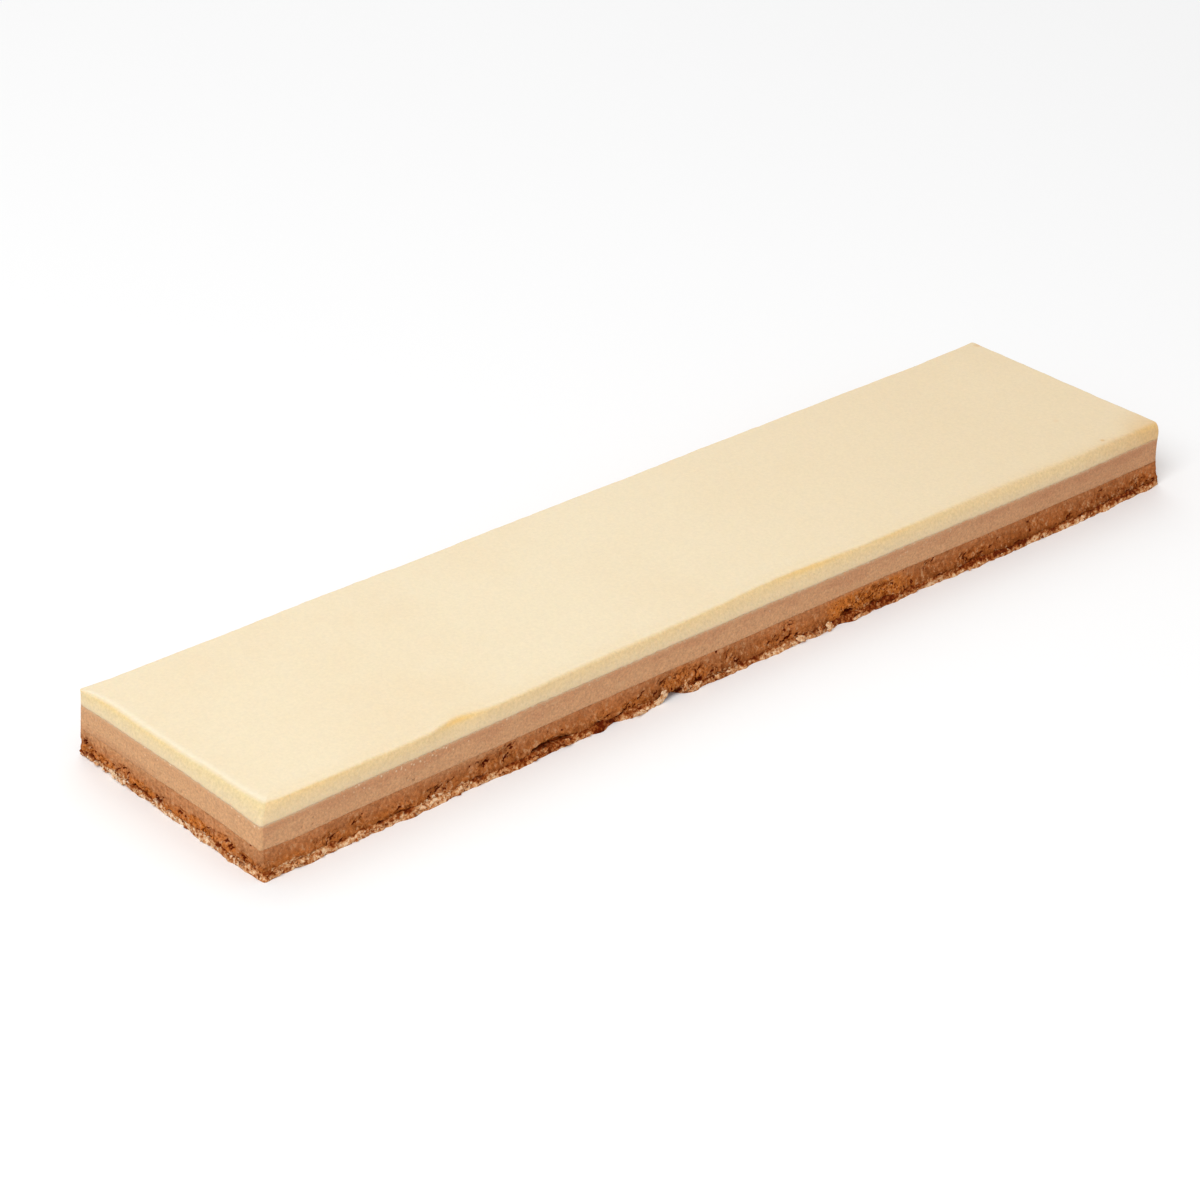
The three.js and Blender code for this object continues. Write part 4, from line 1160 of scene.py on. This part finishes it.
def makeSponge():
    high = layerEdge(spongeTop)
    share = np.linspace(0, 1, spongePiece["rows"] + 1)[:, None]
    z = high * share
    cutIn = sidesDepth(z, frontMarks, endMarks)
    out = knifeCut(z) + spongeReach(slice(None), share) - spongePiece["slitShare"] * cutIn
    shownTone = np.where(onLong, spongePiece["longTone"], spongePiece["endTone"])
    tone = between(spongePiece["hiddenTone"], shownTone, crumblyFoot(z)) + spongePatches()
    patchy = 0.3 + 0.7 * smooth(0.5 + uneven(*spongePiece["tornPatches"]))
    fields = {"torn": patchy, "slit": slitShade(cutIn), "tone": tone, "wall": smooth(share * 12)}
    piece = shellObject("spongeBase", wallRings(z, out), fields, 0.0, spongeTop["top"])
    return bakeTree(piece, relief, spongePiece["relief"], sponge)


crumbPiece = {
    "tries": 2900, "radius": (0.25, 0.68), "proud": (-0.6, -0.1), "seed": 41,
    "low": 0.8, "high": 3.6, "spread": (1.2, 1.6),  # lowest reach, and what is added where the sponge shows
    "tone": (1.7, 1.2), "hiddenTone": 0.6,  # tones are darker where less of the sponge shows
    "frontShadeTone": 0.9,  # painted shade, browner on the front, and more even on its right part
    "calmFrom": 110, "calm": 0.5, "calmTone": 0.55,
    "shape": {"Facets": 1, "Lump Size": 0.0008, "Raggedness": 0.55, "Seed": 5.0},
}
flakePiece = {
    "tries": 330, "length": (0.7, 1.7), "thick": (0.3, 0.6), "height": (0.4, 1.0), "proud": (-0.35, 0.2),
    "low": 0.5, "high": (0.8, 2.6), "tone": (2.6, 1.8), "twist": 0.45, "seed": 43,
    "shape": {"Facets": 2, "Lump Size": 0.001, "Raggedness": 0.75, "Seed": 6.0},
}
shredPiece = {
    # torn shreds: place along the face, height, half length, half height, tone, lean
    "front": ((-139, 1.2, 2.2, 1.1, 0.5, 0.2), (-119, 2.6, 1.5, 1.7, 0.42, 0.0),
              (-126, 2.2, 1.2, 1.6, 0.3, 0.3), (-131, 3.2, 1.3, 1.6, 0.36, 0.2),
              (-122, 3.9, 1.2, 1.4, 0.34, -0.3), (-106, 1.6, 1.2, 1.0, 0.6, 0.4),
              (-75, 1.3, 6.0, 0.7, 0.75, -0.25), (-60, 3.4, 2.7, 3.5, 0.8, -0.3),
              (-63, 1.6, 1.8, 1.3, 0.7, -0.3), (-45, 3.4, 1.3, 2.2, 0.55, -0.5),
              (-38, 2.2, 2.2, 1.4, 0.7, 0.1), (29, 2.8, 1.6, 2.9, 0.78, 0.6),
              (48, 2.8, 2.1, 2.9, 0.76, 0.4), (42, 3.4, 1.1, 1.8, 0.4, 0.0),
              (66, 0.9, 3.6, 0.7, 0.7, 0.1), (82, 2.4, 1.5, 1.7, 0.4, 0.2),
              (-203, 1.8, 1.8, 1.0, 0.8, 0.1), (-26, 1.9, 1.6, 1.2, 0.6, 0.4),
              (-283, 1.3, 2.6, 1.2, 0.62, 0.0), (-271, 2.8, 2.4, 1.4, 0.5, 0.0),
              (-182, 3.0, 1.4, 1.2, 0.8, 0.0)),
    "end": ((41, 2.1, 1.8, 1.4, 0.85, -0.3), (34, 1.6, 2.2, 1.1, 0.8, 0.0), (2, 1.7, 2.2, 1.3, 0.85, 0.2),
            (-4, 1.5, 2.0, 1.2, 0.8, 0.0), (-50, 1.6, 2.0, 1.1, 0.75, 0.0), (-61, 1.4, 1.8, 1.0, 0.7, 0.0)),
    "thick": 0.6, "proud": 0.3, "endProud": -0.1, "twist": 0.15, "seed": 47,
    "shape": {"Facets": 3, "Lump Size": 0.0019, "Raggedness": 0.85, "Seed": 7.0},
}


def crumbPoints(name, column, z, proud, sizes, twist, tone):
    # points on the sponge at columns of the outline, with the crumb's length along the side
    high = layerEdge(spongeTop)[column]
    nx, ny = outline["nx"][column], outline["ny"][column]
    reach = knifeCut(np.zeros_like(around))[column] + proud + cake["lean"] / 2
    reach = reach + spongeReach(column, np.clip(z / high, 0.2, 0.85))
    points = skewed(outline["x"][column] + nx * reach, outline["y"][column] + ny * reach, z)
    mesh = bpy.data.meshes.new(name)
    mesh.from_pydata((points * mm).tolist(), [], [])
    heading = np.arctan2(nx, -ny)
    turns = twist + np.stack([0 * heading, 0 * heading, heading], axis=-1)
    for key, field in (("crumbSize", sizes * mm), ("crumbTurn", turns), ("middle", points * mm)):
        noteVector(mesh, key, field)
    noteValue(mesh, "tone", tone)
    return placeObject(name, mesh)


def scatter(draw, tries):  # columns where the sponge shows, and how much of it
    column = draw.integers(0, len(around), tries)
    wanted = 0.06 + 1.1 * spongeShows()[column] ** 1.5
    column = column[draw.uniform(0, 1, tries) < wanted]
    return column, spongeShows()[column]


def inCave(column, z):
    inside = np.zeros(len(column), dtype=bool)
    for marks, side in ((frontMarks, onLong), (endMarks, ~onLong)):
        for m in marks:
            near = np.abs(along[column] - m["at"]) < 0.5 * m["length"]
            inside |= side[column] & near & (np.abs(z - m["up"]) < 0.8 * m["width"])
    return inside


def frontShadeTone(column):
    return np.where(onFront, crumbPiece["frontShadeTone"], 1.0)[column]


def makeCrumbs():
    draw = np.random.default_rng(crumbPiece["seed"])
    column, shows = scatter(draw, crumbPiece["tries"])
    z = draw.beta(*crumbPiece["spread"], len(column)) * (crumbPiece["low"] + crumbPiece["high"] * shows)
    free = ~inCave(column, z)
    column, shows, z = column[free], shows[free], z[free]
    count = len(column)
    sizes = draw.uniform(*crumbPiece["radius"], (count, 3))
    z = np.maximum(z, sizes[:, 2])
    tone = draw.beta(*crumbPiece["tone"], count) * between(crumbPiece["hiddenTone"], 1, shows)
    tone = tone + spongePatches()[column]
    evened = onFront & (along > crumbPiece["calmFrom"])
    tone = between(tone, crumbPiece["calmTone"], np.where(evened, crumbPiece["calm"], 0.0)[column])
    tone = tone * frontShadeTone(column)
    twist = draw.uniform(-math.pi, math.pi, (count, 3))
    proud = draw.uniform(*crumbPiece["proud"], count)
    piece = crumbPoints("spongeCrumbs", column, z, proud, sizes, twist, tone)
    return bakeTree(piece, crumbs, crumbPiece["shape"], sponge)


def makeFlakes():
    draw = np.random.default_rng(flakePiece["seed"])
    column, shows = scatter(draw, flakePiece["tries"])
    count = len(column)
    sizes = [draw.uniform(*flakePiece[key], count) for key in ("length", "thick", "height")]
    sizes = np.stack(sizes, axis=-1)
    low, more = flakePiece["high"]
    z = np.maximum(draw.uniform(flakePiece["low"], low + more * shows), sizes[:, 2])
    proud = draw.uniform(*flakePiece["proud"], count)
    tone = draw.beta(*flakePiece["tone"], count) * frontShadeTone(column)
    twist = draw.normal(0, flakePiece["twist"], (count, 3))
    piece = crumbPoints("spongeFlakes", column, z, proud, sizes, twist, tone)
    return bakeTree(piece, crumbs, flakePiece["shape"], sponge)


def makeShreds():
    draw = np.random.default_rng(shredPiece["seed"])
    rows = []
    for side, listed in ((onFront, shredPiece["front"]), (onLeft, shredPiece["end"])):
        for at, *rest in listed:
            away = np.where(side, np.abs(along - at), np.inf)
            rows.append((np.argmin(away), *rest))
    column, z, halfLong, halfHigh, tone, lean = np.array(rows).T
    column = column.astype(int)
    sizes = np.stack([halfLong, np.full_like(halfLong, shredPiece["thick"]), halfHigh], axis=-1)
    twist = draw.normal(0, shredPiece["twist"], sizes.shape)
    twist[:, 1] -= lean
    proud = np.where(onFront[column], shredPiece["proud"], shredPiece["endProud"])
    piece = crumbPoints("spongeShreds", column, z, proud, sizes, twist, tone)
    return bakeTree(piece, crumbs, shredPiece["shape"], sponge)


sponge = spongeMaterial()
parts = [
    (makeCream, "cream", "cream_layer"),
    (makeMilk, "milk_chocolate", "milk_layer"),
    (makeDark, "dark_chocolate", "dark_layer"),
    (makeSponge, "sponge", "sponge_base"),
    (makeCrumbs, "sponge", None),
    (makeFlakes, "sponge", None),
    (makeShreds, "sponge", None),
]
for make, slotName, node in parts:
    piece = make()
    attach(piece, "root")
    if node:
        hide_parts(node)
    piece.data.calc_loop_triangles()
    print("piece made:", piece.name, len(piece.data.loop_triangles), "triangles")

studio = {
    "floorSize": 9.0,
    "floorTones": ((0.955, 0.955, 0.955), (0.965, 0.965, 0.965)),
    "world": 0.62,
    # place, aim, size and power of each lamp
    "key": ((-1.84, -0.8, 2.24), (0.0, 0.0, 0.0), 1.6, 47.0),
    "fill": ((1.5, 2.5, 2.5), (0.8, 1.2, 0.0), 2.5, 23.0),  # lifts the far floor
}


def floorMaterial():
    material, tree, body = newMaterial("paleFloor", roughness=0.9, gloss=0.2, glow=0.0,
                                       glowRadius=(1.0, 1.0, 1.0), glowScale=0.01)
    cloud = noise(tree, objectPlace(tree), 1.5, 2, 0.5)
    tree.links.new(blendColor(tree, cloud, *studio["floorTones"]), body.inputs["Base Color"])
    return material


def makeStudio():
    half = studio["floorSize"] / 2
    corners = [(-half, -half, 0), (half, -half, 0), (half, half, 0), (-half, half, 0)]
    mesh = bpy.data.meshes.new("floor")
    mesh.from_pydata(corners, [], [(0, 1, 2, 3)])
    mesh.materials.append(floorMaterial())
    floor = placeObject("floor", mesh)

    scene = bpy.context.scene
    scene.world = bpy.data.worlds.new("softRoom")
    scene.world.use_nodes = True
    sky = scene.world.node_tree.nodes["Background"].inputs
    sky["Color"].default_value = (1.0, 1.0, 1.0, 1.0)
    sky["Strength"].default_value = studio["world"]
    scene.view_settings.view_transform = "Standard"

    for name in ("key", "fill"):
        place, aim, size, power = studio[name]
        light = bpy.data.lights.new(name, "AREA")
        light.energy = power
        light.size = size
        lamp = placeObject(name, light)
        lamp.location = place
        lamp.rotation_euler = (Vector(aim) - lamp.location).to_track_quat("-Z", "Y").to_euler()


lens = {
    "azimuth": -42.015,  # degrees round from the front face, and up from the floor
    "elevation": 29.4,
    "roll": 1.358,
    "distance": 1665.43,
    "slideRight": -29.2,
    "slideUp": -10.73,
    "focal": 103.12,
    "sensor": 36.0,
    "farthest": 50.0,  # metres
}


def makeCamera():
    a, e, r = (math.radians(lens[key]) for key in ("azimuth", "elevation", "roll"))
    back = Vector((math.sin(a) * math.cos(e), -math.cos(a) * math.cos(e), math.sin(e)))
    level = (-back).cross(Vector((0, 0, 1))).normalized()
    upright = level.cross(-back)
    right = math.cos(r) * level + math.sin(r) * upright
    up = math.cos(r) * upright - math.sin(r) * level
    place = back * lens["distance"] + right * lens["slideRight"] + up * lens["slideUp"]
    place += Vector((0, 0, cake["height"] / 2))
    data = bpy.data.cameras.new("camera")
    data.lens = lens["focal"]
    data.sensor_width = lens["sensor"]
    data.clip_end = lens["farthest"]
    camera = placeObject("camera", data)
    turn = Matrix((right, up, back)).transposed().to_4x4()
    camera.matrix_world = Matrix.Translation(place * mm) @ turn
    bpy.context.scene.camera = camera


makeStudio()
makeCamera()
print("studio and camera set")
